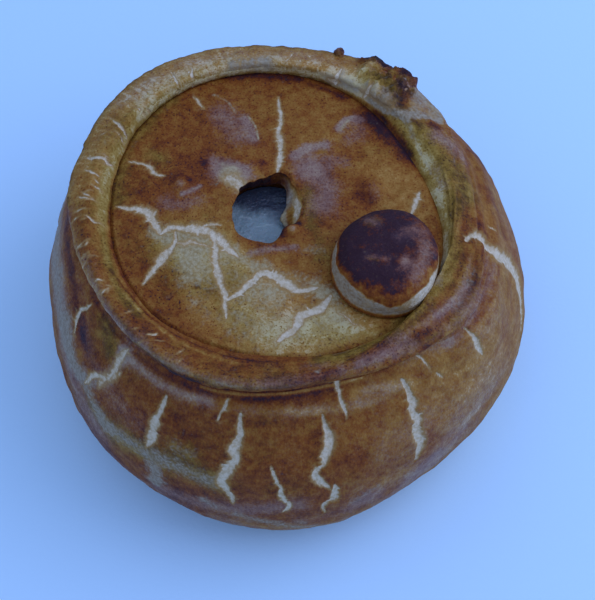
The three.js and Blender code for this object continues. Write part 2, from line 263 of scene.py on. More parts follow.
@dataclass(frozen=True)
class PieForm:
    """The pie's driving sizes in mm, and the surfaces that follow from them."""

    bulge_radius: float = 59.0
    edge_radius: float = 48.0
    crest_radius: float = 43.2
    seam_radius: float = 38.8
    rim_height: float = 66.0
    seam_height: float = 62.2
    lid_thickness: float = 5.0
    gap: float = 0.3
    jelly_depth: float = 6.0
    jelly_radius: float = 10.7
    hole: Span = (-0.9, 1.5)
    hole_radius: float = 8.6
    button: Span = (25.8, -14.4)
    button_radius: float = 12.3
    button_height: float = 10.2
    flat_middle: float = -2.0
    flat_half_angle: float = 46.0
    flat_fade: float = 26.0
    dome: float = 0.9

    @property
    def lid_floor(self) -> float:
        """Height of the recess that the lid lies in."""
        return self.seam_height - self.lid_thickness

    @property
    def rings(self) -> tuple[Ring, ...]:
        """The case's levels from the foot, up the side and over the rim to the lid's seam.

        Returns:
            One ring for each level, lowest first.
        """
        body = ((Course.BODY, 1.0),)
        edge = ((Course.EDGE, 1.0),)
        return (
            Ring(46.5, 0.0, body),
            Ring(51.3, 1.5, body),
            Ring(56.0, 8.5, body),
            Ring(self.bulge_radius, 20.5, body),
            Ring(57.1, 40.0, ((Course.BODY, 0.75), (Course.EDGE, 0.25)), flat_out=0.6),
            Ring(self.edge_radius + 1.3, 55.4, edge, flat_out=5.2),
            Ring(self.edge_radius - 2.2, 59.0, edge, flat_out=5.2),
            Ring(self.edge_radius, 62.6, edge),
            Ring(self.crest_radius, self.rim_height, ((Course.CREST, 1.0),), flat_down=0.8),
            Ring(41.0, 64.3, ((Course.CREST, 0.5), (Course.SEAM, 0.5)), flat_down=0.5),
            Ring(self.seam_radius, self.seam_height, ((Course.SEAM, 1.0),)),
        )

    @property
    def swells(self) -> tuple[Swell, ...]:
        """The lid's blisters, low swells, the dent under the button and the baked drip.

        Returns:
            One swell for each.
        """
        return (
            Swell(-21.1, 7.7, 2.4, 0.9),
            Swell(24.0, 6.6, 2.6, 1.4),
            Swell(-17.0, -11.0, 10.0, 1.0),
            Swell(2.0, -24.0, 9.0, 0.7),
            Swell(8.0, 24.0, 10.0, 0.5),
            Swell(*self.button, 15.0, -0.9),
            Swell(5.0, -4.8, 2.2, 1.7),
            Swell(-1.0, -9.6, 2.6, 0.7),
        )

    def flat_side(self, angle: Array) -> Array:
        """1 on the right, where the rim runs flat into the shoulder, fading to 0 on either side."""
        return ease(self.flat_half_angle - np.abs(away(angle, self.flat_middle)), 0.0, self.flat_fade)

    def side(self, angle: Array, place: Array) -> Array:
        """The case's outside.

        Every ring gives a point at an angle: its radius plus its waves, at its height. A uniform
        Catmull-Rom spline joins them. A place is a ring's number plus the share of the way to
        the next one.

        Args:
            angle: Angles in radians, one for each column.
            place: Places along the spline, one for each row, or rows x columns of them.

        Returns:
            Points in mm, rows x columns x 3.
        """
        flat = self.flat_side(angle)
        knots = []
        for ring in self.rings:
            waves = sum(share * course.swing(angle) for course, share in ring.follows)
            radius = ring.radius + waves + ring.flat_out * flat
            knots.append(round_and_up(angle, radius, ring.height - ring.flat_down * flat))
        chain = np.stack([2.0 * knots[0] - knots[1], *knots, 2.0 * knots[-1] - knots[-2]])
        rows = np.broadcast_to(place if place.ndim == 2 else place[:, None], (len(place), len(angle)))
        step = np.clip(np.floor(rows), 0, len(knots) - 2).astype(int)
        column = np.arange(len(angle))[None, :]
        return catmull_rom(*(chain[step + offset, column] for offset in range(4)), (rows - step)[..., None])

    def place_of(self, angle: Array, level: Array, across_rim: bool) -> Array:
        """The places on the side that have a height, or on the rim that have a radius.

        Args:
            angle: Angles in radians.
            level: For each angle a height below the crest or, across the rim, a radius.
            across_rim: True if the levels are radii from the rim's edge in to the seam.

        Returns:
            One place for each angle, found between the nearest two of a fine row of places.
        """
        first, last = (EDGE, SEAM) if across_rim else (0.0, CREST)
        fine = np.linspace(first, last, round((last - first) / PLACE_STEP) + 1)
        points = self.side(angle, fine)
        measure = -np.hypot(points[..., 0], points[..., 1]) if across_rim else points[..., 2]
        wanted = -level if across_rim else level
        reached = np.maximum.accumulate(measure, axis=0)
        return np.array([np.interp(w, reached[:, i], fine) for i, w in enumerate(wanted)])

    def seam_at(self, angle: Array) -> Array:
        """Radius of the seam between lid and rim."""
        return self.seam_radius + Course.SEAM.swing(angle)

    def lid_top(self, x: Array, y: Array) -> Array:
        """Height of the lid's upper face.

        It is the seam's height, plus a low dome that falls with the square of the reach, plus
        the swells, which fade out towards the seam.

        Args:
            x: Places in mm.
            y: Places in mm.

        Returns:
            Heights in mm.
        """
        reach = np.minimum(1.0, np.hypot(x, y) / self.seam_at(np.arctan2(y, x)))
        bumps = sum(one.height * bell(np.hypot(x - one.x, y - one.y), one.size) for one in self.swells)
        return self.seam_height + self.dome * (1.0 - reach**2) + (1.0 - reach**8) * bumps


def circle(centre: Span, radius: Array, angle: Array, height: Array | float) -> Array:
    """Points round a centre at a height.

    Args:
        centre: Its x and y.
        radius: Distance from the centre.
        angle: Radians.
        height: The z.

    Returns:
        The points, with x, y and z last.
    """
    x = centre[0] + radius * np.cos(angle)
    y = centre[1] + radius * np.sin(angle)
    return np.stack(np.broadcast_arrays(x, y, height), axis=-1)


def round_and_up(angle: Array, reach: Array | float, height: Array) -> Array:
    """Points round the pie's middle at any height, for its own outlines and for noise that closes."""
    return circle((0.0, 0.0), reach, angle, height)


def normals_of(points: Array) -> Array:
    """Directions out of a grid that closes round its columns.

    Each is the cross product of the step to the next column and the step to the next row, made
    one long.

    Args:
        points: Rows x columns x 3.

    Returns:
        Directions, rows x columns x 3.
    """
    across = np.roll(points, -1, axis=1) - np.roll(points, 1, axis=1)
    out = np.cross(across, np.gradient(points, axis=0))
    return out / np.maximum(np.linalg.norm(out, axis=-1, keepdims=True), 1e-9)


# --- tears
@dataclass(frozen=True)
class Tear:
    """A place where the crust split in the oven and shows pale dough.

    Its points are angle and height on the side, angle and radius across the rim, or x and y on
    the lid. belly is the share of the way along where it is widest, and strength says how far
    it opened there.
    """

    points: Points
    width: float
    depth: float = 0.8
    belly: float = 0.5
    strength: float = 1.0
    sway: float = 0.35


def in_pairs(numbers: list[float]) -> Points:
    """Numbers taken two by two."""
    return tuple(zip(numbers[::2], numbers[1::2]))


def tears(*rows: tuple[tuple[float, ...] | float, ...]) -> tuple[Tear, ...]:
    """Tears from rows of sizes, in the order of a Tear's fields, and the numbers of the points."""
    return tuple(Tear(in_pairs(numbers), *sizes) for sizes, *numbers in rows)


@dataclass
class Tears:
    """The tears of one piece as chains of small discs, and the field that they leave in its crust.

    Sizes are in mm. sways are the sizes of a tear's large and small turns, and fine_sway the
    share of the small ones. tip is the share of its width at an end. finest is the half width
    under which a tear is drawn no finer but fainter. reach is where it ends, in half widths.
    """

    sways: Span = (2.6, 0.9)
    fine_sway: float = 0.45
    tip: float = 0.16
    taper: float = 0.6
    uneven: float = 0.28
    uneven_size: float = 2.1
    nicked_from: float = 0.8
    nick_every: float = 2.6
    nick_slant: float = 0.7
    nick_reach: Span = (0.3, 1.2)
    nick_points: int = 12
    nick_width: float = 0.42
    nick_tip: float = 0.08
    finest: float = 0.3
    reach: float = 2.6
    discs: list[Array] = field(default_factory=list)

    def add(self, tear: Tear, path: Array, out: Array, seed: int) -> None:
        """Lays one tear along a path on the crust.

        The path is moved aside by noise of two sizes, less at its ends. The half width follows a
        power curve from either end to the belly and has noise of its own. Short nicks leave it
        on both sides.

        Args:
            tear: The tear's sizes.
            path: Points on the crust in mm, close together.
            out: The direction out of the crust at each of them.
            seed: Random seed of this tear.
        """
        along = np.concatenate([[0.0], np.cumsum(np.linalg.norm(np.diff(path, axis=0), axis=1))])
        share = along / along[-1]
        across = np.cross(out, np.gradient(path, axis=0))
        across /= np.linalg.norm(across, axis=1, keepdims=True)
        ends = np.minimum(1.0, 4.0 * share * (1.0 - share) + 0.25)
        large, small = (wander(along, size, seed + number) for number, size in enumerate(self.sways))
        line = path + across * (tear.sway * (large + self.fine_sway * small) * ends)[:, None]
        rise = np.where(share < tear.belly, share / tear.belly, (1.0 - share) / (1.0 - tear.belly))
        half = 0.5 * tear.width * (self.tip + (1.0 - self.tip) * rise**self.taper)
        half *= 1.0 + self.uneven * wander(along, self.uneven_size, seed + 2)
        self._lay(line, half, tear)
        if tear.width > self.nicked_from:
            self._nick(line, across, half, tear, np.random.default_rng(seed))

    def _nick(self, line: Array, across: Array, half: Array, tear: Tear, rng: np.random.Generator) -> None:
        """Adds short side splits, each a straight taper that leaves the line at a slant.

        Args:
            line: The split's own path.
            across: Steps to its side.
            half: Half its width at each point.
            tear: The split.
            rng: The source of chance.
        """
        step = np.linalg.norm(line[1] - line[0])
        share = np.linspace(0.0, 1.0, self.nick_points)
        for _ in range(int(len(line) * step / self.nick_every)):
            at = int(rng.integers(1, len(line) - 1))
            side = rng.choice((-1.0, 1.0))
            slant = rng.uniform(-self.nick_slant, self.nick_slant)
            forward = (line[at + 1] - line[at - 1]) / np.linalg.norm(line[at + 1] - line[at - 1])
            way = side * across[at] + slant * forward
            reach = half[at] + rng.uniform(*self.nick_reach)
            nick = line[at] + np.outer(share * reach, way)
            self._lay(nick, self.nick_width * half[at] * (1.0 - share) + self.nick_tip, tear)

    def _lay(self, line: Array, half: Array, tear: Tear) -> None:
        """Keeps discs as rows of x, y, z, half width, depth and strength."""
        same = np.ones(len(line))
        self.discs.append(np.column_stack([line, half, tear.depth * same, tear.strength * same]))

    def field_on(self, points: Array) -> tuple[Array, Array]:
        """How open the crust is, and how deep it is torn.

        A point's reach is the least of its distances to the discs, each divided by the disc's
        half width. The opening is 2^-(reach^2): 1 on the line, 1/2 at its edge.

        Args:
            points: Places on the crust in mm, with x, y and z along the last axis.

        Returns:
            The opening from 0 to 1, and the depth in mm.
        """
        flat = points.reshape(-1, 3)
        opening = np.zeros(len(flat))
        depth = np.zeros(len(flat))
        for discs in self.discs:
            half = np.maximum(discs[:, 3], self.finest)
            margin = self.reach * half.max()
            low = discs[:, :3].min(axis=0) - margin
            high = discs[:, :3].max(axis=0) + margin
            near = np.flatnonzero(np.all((flat > low) & (flat < high), axis=1))
            if len(near) == 0:
                continue
            faint = np.minimum(1.0, discs[:, 3] / self.finest) * discs[:, 5]
            gaps = np.linalg.norm(flat[near, None, :] - discs[None, :, :3], axis=2)
            open_here = faint * 2.0 ** -((gaps / half) ** 2)
            best = open_here.argmax(axis=1)
            value = open_here[np.arange(len(near)), best]
            wins = value > opening[near]
            opening[near[wins]] = value[wins]
            depth[near[wins]] = (discs[best, 4] * faint[best])[wins]
        return opening.reshape(points.shape[:-1]), depth.reshape(points.shape[:-1])


def spline_through(points: Points, spacing: float, scale: Span) -> Array:
    """A smooth chain of pairs through given pairs, evenly spaced.

    It is a Catmull-Rom spline, whose end points are doubled, sampled finely and then by length.
    A single pair is given back as it is.

    Args:
        points: Pairs to go through.
        spacing: Distance between two pairs of the result, in mm.
        scale: Millimetres for one unit of each of a pair's numbers.

    Returns:
        Pairs, two columns.
    """
    if len(points) == 1:
        return np.array(points, dtype=float)
    knots = np.array([points[0], *points, points[-1]], dtype=float)
    t = np.linspace(0.0, 1.0, 24, endpoint=False)[:, None]
    pieces = [catmull_rom(*four, t) for four in zip(knots, knots[1:], knots[2:], knots[3:])]
    chain = np.vstack([*pieces, knots[-1:]])
    steps = np.linalg.norm(np.diff(chain, axis=0) * np.array(scale), axis=1)
    along = np.concatenate([[0.0], np.cumsum(steps)])
    even = np.linspace(0.0, along[-1], max(8, int(along[-1] / spacing)))
    return np.column_stack([np.interp(even, along, chain[:, axis]) for axis in range(2)])


# --- paint
class Mark(Enum):
    """What a finish reads from its piece, each from 0 to 1."""

    # browning; in places it also carries painted shade and painted light
    BAKE = "bake"
    KHAKI = "khaki"
    PALE = "pale"
    # dried jelly and fat as a lilac grey film; in places it is a painted bluish sheen
    FILM = "film"
    SPECK = "speck"
    OPEN = "open"


BAKE, KHAKI, PALE, FILM, SPECK, OPEN = Mark


@dataclass(frozen=True)
class Stroke:
    """A soft brush stroke that adds to one mark, or takes from it.

    size is the distance in mm from its middle at which it has half its strength. Its points are
    angle and place on the case, and x and y on the lid and the button.
    """

    mark: Mark
    size: float
    amount: float
    points: Points


def strokes(*rows: tuple[Mark | float, ...]) -> tuple[Stroke, ...]:
    """Strokes from rows of mark, size, amount, and the numbers of the points."""
    return tuple(Stroke(mark, size, amount, in_pairs(numbers)) for mark, size, amount, *numbers in rows)


SMALL_FRAY = Layer(0.4, 2.0, 3, 0)
LARGE_FRAY = Layer(0.35, 7.0, 3, 5)
LARGE_STROKE = 2.5  # mm, the size from which a stroke's edge wanders in large waves
STROKE_REACH = 4.5  # sizes from its path at which a stroke has faded out


@dataclass
class Canvas:
    """The marks of one piece while it is painted."""

    points: Array
    seed: int
    ground: dict[Mark, Array | float]

    def __post_init__(self) -> None:
        """Lays the marks' grounds, and works out the noise that makes strokes uneven."""
        shape = self.points.shape[:-1]
        self.marks = {mark: np.array(np.broadcast_to(value, shape)) for mark, value in self.ground.items()}
        self.small = pile(self.points, self.seed, SMALL_FRAY).reshape(-1)
        self.large = pile(self.points, self.seed, LARGE_FRAY).reshape(-1)

    def add(self, stroke: Stroke, path: Array) -> None:
        """Paints a stroke along a path.

        A point's reach is its distance to the nearest point of the path, divided by the stroke's
        size and made uneven by noise. The mark changes by amount * 2^-(reach^2).

        Args:
            stroke: The stroke's mark, size and amount.
            path: Points on the piece in mm, closer together than the stroke's size.
        """
        flat = self.points.reshape(-1, 3)
        margin = STROKE_REACH * stroke.size
        inside = (flat > path.min(axis=0) - margin) & (flat < path.max(axis=0) + margin)
        near = np.flatnonzero(np.all(inside, axis=1))
        gaps = np.linalg.norm(flat[near, None, :] - path[None, :, :], axis=2).min(axis=1)
        uneven = self.small if stroke.size < LARGE_STROKE else self.large
        reach = gaps / stroke.size * (1.0 + uneven[near])
        self.marks[stroke.mark].reshape(-1)[near] += stroke.amount * 2.0 ** -(reach**2)


# --- meshes
UP = np.array([0.0, 0.0, 1.0])
DOWN = np.array([0.0, 0.0, -1.0])
FLAT = np.array([1.0, 1.0, 0.0])


@dataclass
class Skin:
    """A grid of points that closes round its columns, and the marks that its finish reads."""

    points: Array
    marks: dict[Mark, Array]
    looped: bool = False
    normals: Array | None = None

    def faces(self) -> tuple[list[list[int]], list[Array]]:
        """The grid's faces, and the poles that close its ends.

        Quads join each row to the next. A looped grid's last row joins its first. Otherwise a
        fan of triangles joins each end row to a pole in its middle.

        Returns:
            Faces as lists of vertex numbers, and the poles' points.
        """
        rows, columns = self.points.shape[:2]
        number = np.arange(rows * columns).reshape(rows, columns)
        lower = number if self.looped else number[:-1]
        upper = np.roll(number, -1, axis=0) if self.looped else number[1:]
        quads = np.stack([lower, np.roll(lower, -1, axis=1), np.roll(upper, -1, axis=1), upper], axis=-1)
        faces = quads.reshape(-1, 4).tolist()
        poles: list[Array] = []
        if not self.looped:
            for ring, order in ((number[0], (1, 0)), (number[-1], (0, 1))):
                pole = rows * columns + len(poles)
                poles.append(self.points.reshape(-1, 3)[ring].mean(axis=0))
                pair = np.stack([ring, np.roll(ring, -1)], axis=-1)[:, list(order)]
                faces += [[int(a), int(b), pole] for a, b in pair]
        return faces, poles

    def mesh(self, name: str, shift: Array) -> bpy.types.Mesh:
        """Makes the mesh in metres, with its marks as attributes.

        Args:
            name: The piece's name.
            shift: From the grid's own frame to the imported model's, in mm.

        Returns:
            The new mesh.
        """
        faces, poles = self.faces()
        points = np.vstack([self.points.reshape(-1, 3), *poles])
        mesh = bpy.data.meshes.new(name)
        mesh.from_pydata(((points + shift) * MM).tolist(), [], faces)
        for mark, values in self.marks.items():
            ends = [values[0].mean(), values[-1].mean()][: len(poles)]
            attribute = mesh.attributes.new(mark.value, "FLOAT", "POINT")
            attribute.data.foreach_set("value", np.concatenate([values.reshape(-1), ends]).astype(np.float32))
        mesh.polygons.foreach_set("use_smooth", np.ones(len(mesh.polygons), dtype=bool))
        if self.normals is not None:
            ways = np.vstack([self.normals.reshape(-1, 3), *[DOWN, UP][: len(poles)]])
            mesh.normals_split_custom_set_from_vertices(ways.tolist())
        mesh.update()
        return mesh

    def build(self, name: str, shift: Array) -> Piece:
        """Makes the mesh and an object at the origin that shows it."""
        return place_in_scene(bpy.data.objects.new(name, self.mesh(name, shift)))


def place_in_scene(thing: Piece) -> Piece:
    """Links an object to the scene and gives it back."""
    bpy.context.scene.collection.objects.link(thing)
    return thing


def settle(piece: Piece, material: Material, slot: str, *nodes: str) -> Piece:
    """Dresses a piece, lets it ride on the pie, and hides the solids that it takes the place of.

    Args:
        piece: The piece.
        material: Its look.
        slot: Not used.
        nodes: Names of the solids that it takes the place of.

    Returns:
        The same piece.
    """
    piece.data.materials.append(material)
    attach(piece, BODY)
    if nodes:
        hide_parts(*nodes)
    return piece


def spread(lengths: Array, places: Array, spacing: Array, count: int) -> Array:
    """Places along a curve so that their distances follow a spacing.

    Args:
        lengths: Distance along the curve of a fine row of places.
        places: Those places.
        spacing: The wanted relative spacing at each of them.
        count: How many places to give.

    Returns:
        The places, both ends among them.
    """
    weight = np.concatenate([[0.0], np.cumsum(np.diff(lengths) / spacing[1:])])
    return np.interp(np.linspace(0.0, weight[-1], count), weight, places)


# --- finishes
def srgb(*channels: int) -> Colour:
    """A colour of three bytes as linear light."""
    shares = [channel / 255.0 for channel in channels]
    return tuple(c / 12.92 if c <= 0.04045 else ((c + 0.055) / 1.055) ** 2.4 for c in shares)


NOISE_MIDDLE = 0.5
NOISE_GAIN = 3.2  # a noise node's values lie close to its middle

MIX_SHARE, MIX_FIRST, MIX_SECOND, MIX_RESULT = 0, 6, 7, 2  # a Mix node's sockets for colours


class Recipe:
    """A material put together from nodes, one step at a time, around one Principled shader."""

    def __init__(self, name: str) -> None:
        """Makes an empty material with its shader and its Object coordinates.

        Args:
            name: Its name.
        """
        self.material = bpy.data.materials.new(name)
        self.material.use_nodes = True
        self.tree = self.material.node_tree
        self.shader = self.tree.nodes["Principled BSDF"]
        self.place = self.tree.nodes.new("ShaderNodeTexCoord").outputs["Object"]

    def put(self, socket: Socket, value: Socket | float | tuple[float, ...]) -> None:
        """Links a socket to another, or gives it a plain value; a colour gets its alpha.

        Args:
            socket: The input.
            value: What goes into it.
        """
        if isinstance(value, bpy.types.NodeSocket):
            self.tree.links.new(value, socket)
        elif isinstance(value, tuple) and socket.type == "RGBA":
            socket.default_value = (*value, 1.0)
        else:
            socket.default_value = value

    def mark(self, mark: Mark) -> Socket:
        """A mark that the mesh carries.

        Args:
            mark: Which one.

        Returns:
            Its value from 0 to 1.
        """
        node = self.tree.nodes.new("ShaderNodeAttribute")
        node.attribute_name = mark.value
        return node.outputs["Fac"]

    def sum(self, first: Socket, second: Socket | float, operation: str = "ADD") -> Socket:
        """Two values added, or joined by another operation.

        Args:
            first: One value.
            second: The other.
            operation: The Math node's own name for it.

        Returns:
            The result.
        """
        node = self.tree.nodes.new("ShaderNodeMath")
        node.operation = operation
        self.put(node.inputs[0], first)
        self.put(node.inputs[1], second)
        return node.outputs[0]

    def times(self, first: Socket, second: Socket | float) -> Socket:
        """Two values multiplied."""
        return self.sum(first, second, "MULTIPLY")

    def noise(self, size: float, detail: float = 2.0, stretch: Triple = (1, 1, 1)) -> Socket:
        """Noise from about -1 to 1 with blobs of a size in mm, longer along x, y or z by a stretch.

        Args:
            size: The size.
            detail: Octaves beyond the first.
            stretch: The stretch.

        Returns:
            The noise.
        """
        lay = self.tree.nodes.new("ShaderNodeMapping")
        self.put(lay.inputs["Vector"], self.place)
        lay.inputs["Scale"].default_value = tuple(1.0 / along for along in stretch)
        node = self.tree.nodes.new("ShaderNodeTexNoise")
        self.put(node.inputs["Vector"], lay.outputs["Vector"])
        node.inputs["Scale"].default_value = 1.0 / (size * MM)
        node.inputs["Detail"].default_value = detail
        return self.times(self.sum(node.outputs["Fac"], -NOISE_MIDDLE), NOISE_GAIN)

    def grain(self, kind: Grain) -> Socket:
        """One of the named noises."""
        return self.noise(*kind.value)

    def unsettle(self, value: Socket, noise: Socket, strength: float) -> Socket:
        """A value moved up and down by a noise of a strength."""
        return self.sum(value, self.times(noise, strength))

    def uneven_mark(self, mark: Mark, kind: Grain, strength: float) -> Socket:
        """A mark unsettled by one of the named noises."""
        return self.unsettle(self.mark(mark), self.grain(kind), strength)

    def ease(self, value: Socket, low: float, high: float, start: float = 0.0, end: float = 1.0) -> Socket:
        """A smooth step from start to end as a value goes from low to high.

        Args:
            value: The value.
            low: Where the step starts.
            high: Where it ends.
            start: The level before it.
            end: The level after it.

        Returns:
            The step.
        """
        node = self.tree.nodes.new("ShaderNodeMapRange")
        node.interpolation_type = "SMOOTHSTEP"
        for name, number in (("From Min", low), ("From Max", high), ("To Min", start), ("To Max", end)):
            node.inputs[name].default_value = number
        self.put(node.inputs["Value"], value)
        return node.outputs["Result"]

    def mix(self, share: Socket | float, first: Socket | Colour, second: Socket | Colour) -> Socket:
        """Two colours mixed by a share of the second.

        Args:
            share: The share.
            first: One colour.
            second: The other.

        Returns:
            The mixed colour.
        """
        node = self.tree.nodes.new("ShaderNodeMix")
        node.data_type = "RGBA"
        self.put(node.inputs[MIX_SHARE], share)
        self.put(node.inputs[MIX_FIRST], first)
        self.put(node.inputs[MIX_SECOND], second)
        return node.outputs[MIX_RESULT]

    def ramp(self, value: Socket, palette: Palette) -> Socket:
        """A palette's colours along a value from 0 to 1.

        Args:
            value: The value.
            palette: The palette.

        Returns:
            The colour.
        """
        node = self.tree.nodes.new("ShaderNodeValToRGB")
        elements = node.color_ramp.elements
        while len(elements) < len(BAKED_AT):
            elements.new(0.5)
        for element, at, colour in zip(elements, BAKED_AT, palette.value):
            element.position = at
            element.color = (*colour, 1.0)
        self.put(node.inputs["Fac"], value)
        return node.outputs["Color"]

    def bump(self, height: Socket, depth: float, below: Socket | None = None) -> Socket:
        """Relief of a depth in mm where a value goes from 0 to 1, on top of other relief.

        Args:
            height: The value.
            depth: The depth.
            below: The other relief.

        Returns:
            The bent normal.
        """
        node = self.tree.nodes.new("ShaderNodeBump")
        node.inputs["Distance"].default_value = depth * MM
        node.inputs["Strength"].default_value = 1.0
        self.put(node.inputs["Height"], height)
        if below is not None:
            self.put(node.inputs["Normal"], below)
        return node.outputs["Normal"]

    def finish(self, **sockets: Socket | float | Colour) -> Material:
        """Sets the shader's sockets, named with _ for a space, and gives the material.

        Args:
            sockets: What goes into each.

        Returns:
            The material.
        """
        for name, value in sockets.items():
            self.put(self.shader.inputs[name.replace("_", " ")], value)
        return self.material


class Palette(Enum):
    """Colours of crust from raw to charred, at the steps of browning of BAKED_AT."""

    BROWN = (
        srgb(204, 172, 126),
        srgb(172, 121, 56),
        srgb(150, 95, 34),
        srgb(131, 67, 17),
        srgb(96, 38, 14),
        srgb(52, 25, 32),
    )
    OLIVE = (
        srgb(198, 176, 124),
        srgb(168, 134, 66),
        srgb(142, 106, 38),
        srgb(108, 76, 20),
        srgb(80, 50, 16),
        srgb(46, 30, 26),
    )
    GREY = (
        srgb(190, 172, 150),
        srgb(164, 134, 108),
        srgb(144, 108, 90),
        srgb(126, 86, 72),
        srgb(98, 62, 56),
        srgb(68, 42, 48),
    )


BAKED_AT = (0.0, 0.2, 0.42, 0.62, 0.82, 1.0)


class Grain(Enum):
    """The noises of the pastry and the jelly: size in mm, detail, and stretch along x, y and z."""

    MOTTLE = (2.0, 4.0)
    FINE = (0.5, 3.0, (1.0, 1.0, 3.0))
    SPECK = (0.5, 1.0)
    OLIVE = (1.1, 3.0)
    FILM = (0.6, 4.0)
    CRUMB = (0.75, 3.0)
    TEAR = (0.8, 4.0)
    LUMP = (0.9, 3.0)
    SURFACE = (0.34, 3.0)
    CLOT = (2.6, 4.0)
    STRAND = (1.5, 3.0, (2.2, 0.6, 1.0))
    TABLE = (1.0,)


@dataclass(frozen=True)
class CrustFinish:
    """Egg-washed pastry, from raw dough where it tore to char where it caught the heat.

    The strengths say how much a noise unsettles what it is added to.
    """

    name: str
    dough: Colour = srgb(218, 196, 164)
    dough_dark: Colour = srgb(194, 168, 130)
    dough_edge: Colour = srgb(168, 128, 74)
    pale_light: Colour = srgb(168, 152, 128)
    pale_dark: Colour = srgb(134, 112, 84)
    mottling: float = 0.19
    graining: float = 0.16
    specking: float = 0.4
    greening: float = 0.24
    filming: float = 0.3
    film_lift: float = 0.16
    pale_mottling: float = 0.28
    pale_crumbling: float = 0.24
    pale_cover: float = 0.9
    tearing: float = 0.2
    halo: float = 0.6
    roughness: float = 0.62
    torn_roughness: float = 0.85
    film_gloss: float = 0.15
    mottle_roughness: float = 0.04
    grain_depth: float = 0.06
    crumb_depth: float = 0.08
    specular: float = 0.14

    def material(self) -> Material:
        """Builds the pastry's material.

        Two noises unsettle the browning mark, which in places carries painted shade and painted
        light. Three ramps over it give brown, olive and greyed crust, mixed by the khaki and film
        marks, the film's grey in places a painted sheen; then come specks, pale unbrowned dough,
        and last the tears.

        Returns:
            The material.
        """
        recipe = Recipe(self.name)
        mottle = recipe.grain(Grain.MOTTLE)
        crumbs = recipe.grain(Grain.CRUMB)
        # browning, in places painted shade and painted light
        browned = recipe.unsettle(recipe.mark(BAKE), mottle, self.mottling)
        browned = recipe.unsettle(browned, recipe.grain(Grain.FINE), self.graining)
        specks = recipe.ease(recipe.grain(Grain.SPECK), 0.3, 0.85, 0.0, self.specking)
        browned = recipe.sum(browned, recipe.times(specks, recipe.mark(SPECK)))
        olive = recipe.ease(recipe.uneven_mark(KHAKI, Grain.OLIVE, self.greening), 0.0, 1.0)
        colour = recipe.mix(olive, recipe.ramp(browned, Palette.BROWN), recipe.ramp(browned, Palette.OLIVE))
        # the film, in places a painted sheen
        film = recipe.ease(recipe.uneven_mark(FILM, Grain.FILM, self.filming), 0.1, 1.0)
        greyed = recipe.ramp(recipe.unsettle(browned, film, -self.film_lift), Palette.GREY)
        colour = recipe.mix(film, colour, greyed)
        uneven = recipe.unsettle(recipe.times(mottle, self.pale_mottling), crumbs, self.pale_crumbling)
        pale = recipe.ease(recipe.sum(recipe.mark(PALE), uneven), 0.15, 1.0)
        bare = recipe.mix(recipe.ease(crumbs, -0.8, 0.8), self.pale_dark, self.pale_light)
        colour = recipe.mix(recipe.times(pale, self.pale_cover), colour, bare)
        tear = recipe.uneven_mark(OPEN, Grain.TEAR, self.tearing)
        colour = recipe.mix(recipe.ease(tear, 0.05, 0.42, 0.0, self.halo), colour, self.dough_edge)
        lump = recipe.mix(recipe.ease(recipe.grain(Grain.LUMP), -0.7, 0.5), self.dough_dark, self.dough)
        torn = recipe.ease(tear, 0.3, 0.64)
        colour = recipe.mix(torn, colour, recipe.mix(recipe.ease(tear, 0.36, 0.82), self.dough_edge, lump))
        relief = recipe.bump(recipe.grain(Grain.SURFACE), self.grain_depth)
        rough = recipe.ease(torn, 0.0, 1.0, self.roughness, self.torn_roughness)
        rough = recipe.unsettle(rough, film, -self.film_gloss)
        return recipe.finish(
            Base_Color=colour,
            Roughness=recipe.unsettle(rough, mottle, self.mottle_roughness),
            Normal=recipe.bump(recipe.times(torn, crumbs), self.crumb_depth, relief),
            Specular_IOR_Level=self.specular,
        )


@dataclass(frozen=True)
class JellyFinish:
    """Set stock, grey and half clear, with paler strands that are partly painted highlights, a wet face, and
    painted shade from its mark, darkest at the back.
    """

    name: str
    shade_tone: Colour = srgb(54, 56, 66)
    clear: Colour = srgb(130, 142, 139)
    strand_and_glint: Colour = srgb(174, 180, 172)
    clotting: float = 0.3
    stranding: float = 0.6
    lump_depth: float = 0.12
    roughness: float = 0.3
    scatter: float = 0.15
    scatter_reach: float = 0.002
    wetness: float = 0.15
    wet_roughness: float = 0.2

    def material(self) -> Material:
        """Mixes the clear tone and the dark tone of painted shade by mark and slow noise, and lays pale
        strands, partly painted highlights, over them.

        Returns:
            The material.
        """
        recipe = Recipe(self.name)
        # painted shade, read from the mark and made uneven by slow noise
        depth = recipe.uneven_mark(BAKE, Grain.CLOT, self.clotting)
        # pale strands, partly painted highlight streaks
        strands = recipe.ease(recipe.grain(Grain.STRAND), 0.15, 0.8, 0.0, self.stranding)
        colour = recipe.mix(strands, self.clear, self.strand_and_glint)
        return recipe.finish(
            Base_Color=recipe.mix(recipe.ease(depth, 0.1, 1.0), colour, self.shade_tone),
            Roughness=self.roughness,
            Normal=recipe.bump(recipe.grain(Grain.LUMP), self.lump_depth),
            Subsurface_Weight=self.scatter,
            Subsurface_Scale=self.scatter_reach,
            Coat_Weight=self.wetness,
            Coat_Roughness=self.wet_roughness,
        )


@dataclass(frozen=True)
class FloorFinish:
    """A plain pale blue table."""

    colour: Colour = (0.62, 0.83, 0.98)
    roughness: float = 0.8
    grain_depth: float = 0.01

    def material(self) -> Material:
        """A dull, even surface with the faintest grain.

        Returns:
            The material.
        """
        recipe = Recipe("pale_table")
        grainy = recipe.bump(recipe.grain(Grain.TABLE), self.grain_depth)
        return recipe.finish(Base_Color=self.colour, Roughness=self.roughness, Normal=grainy)


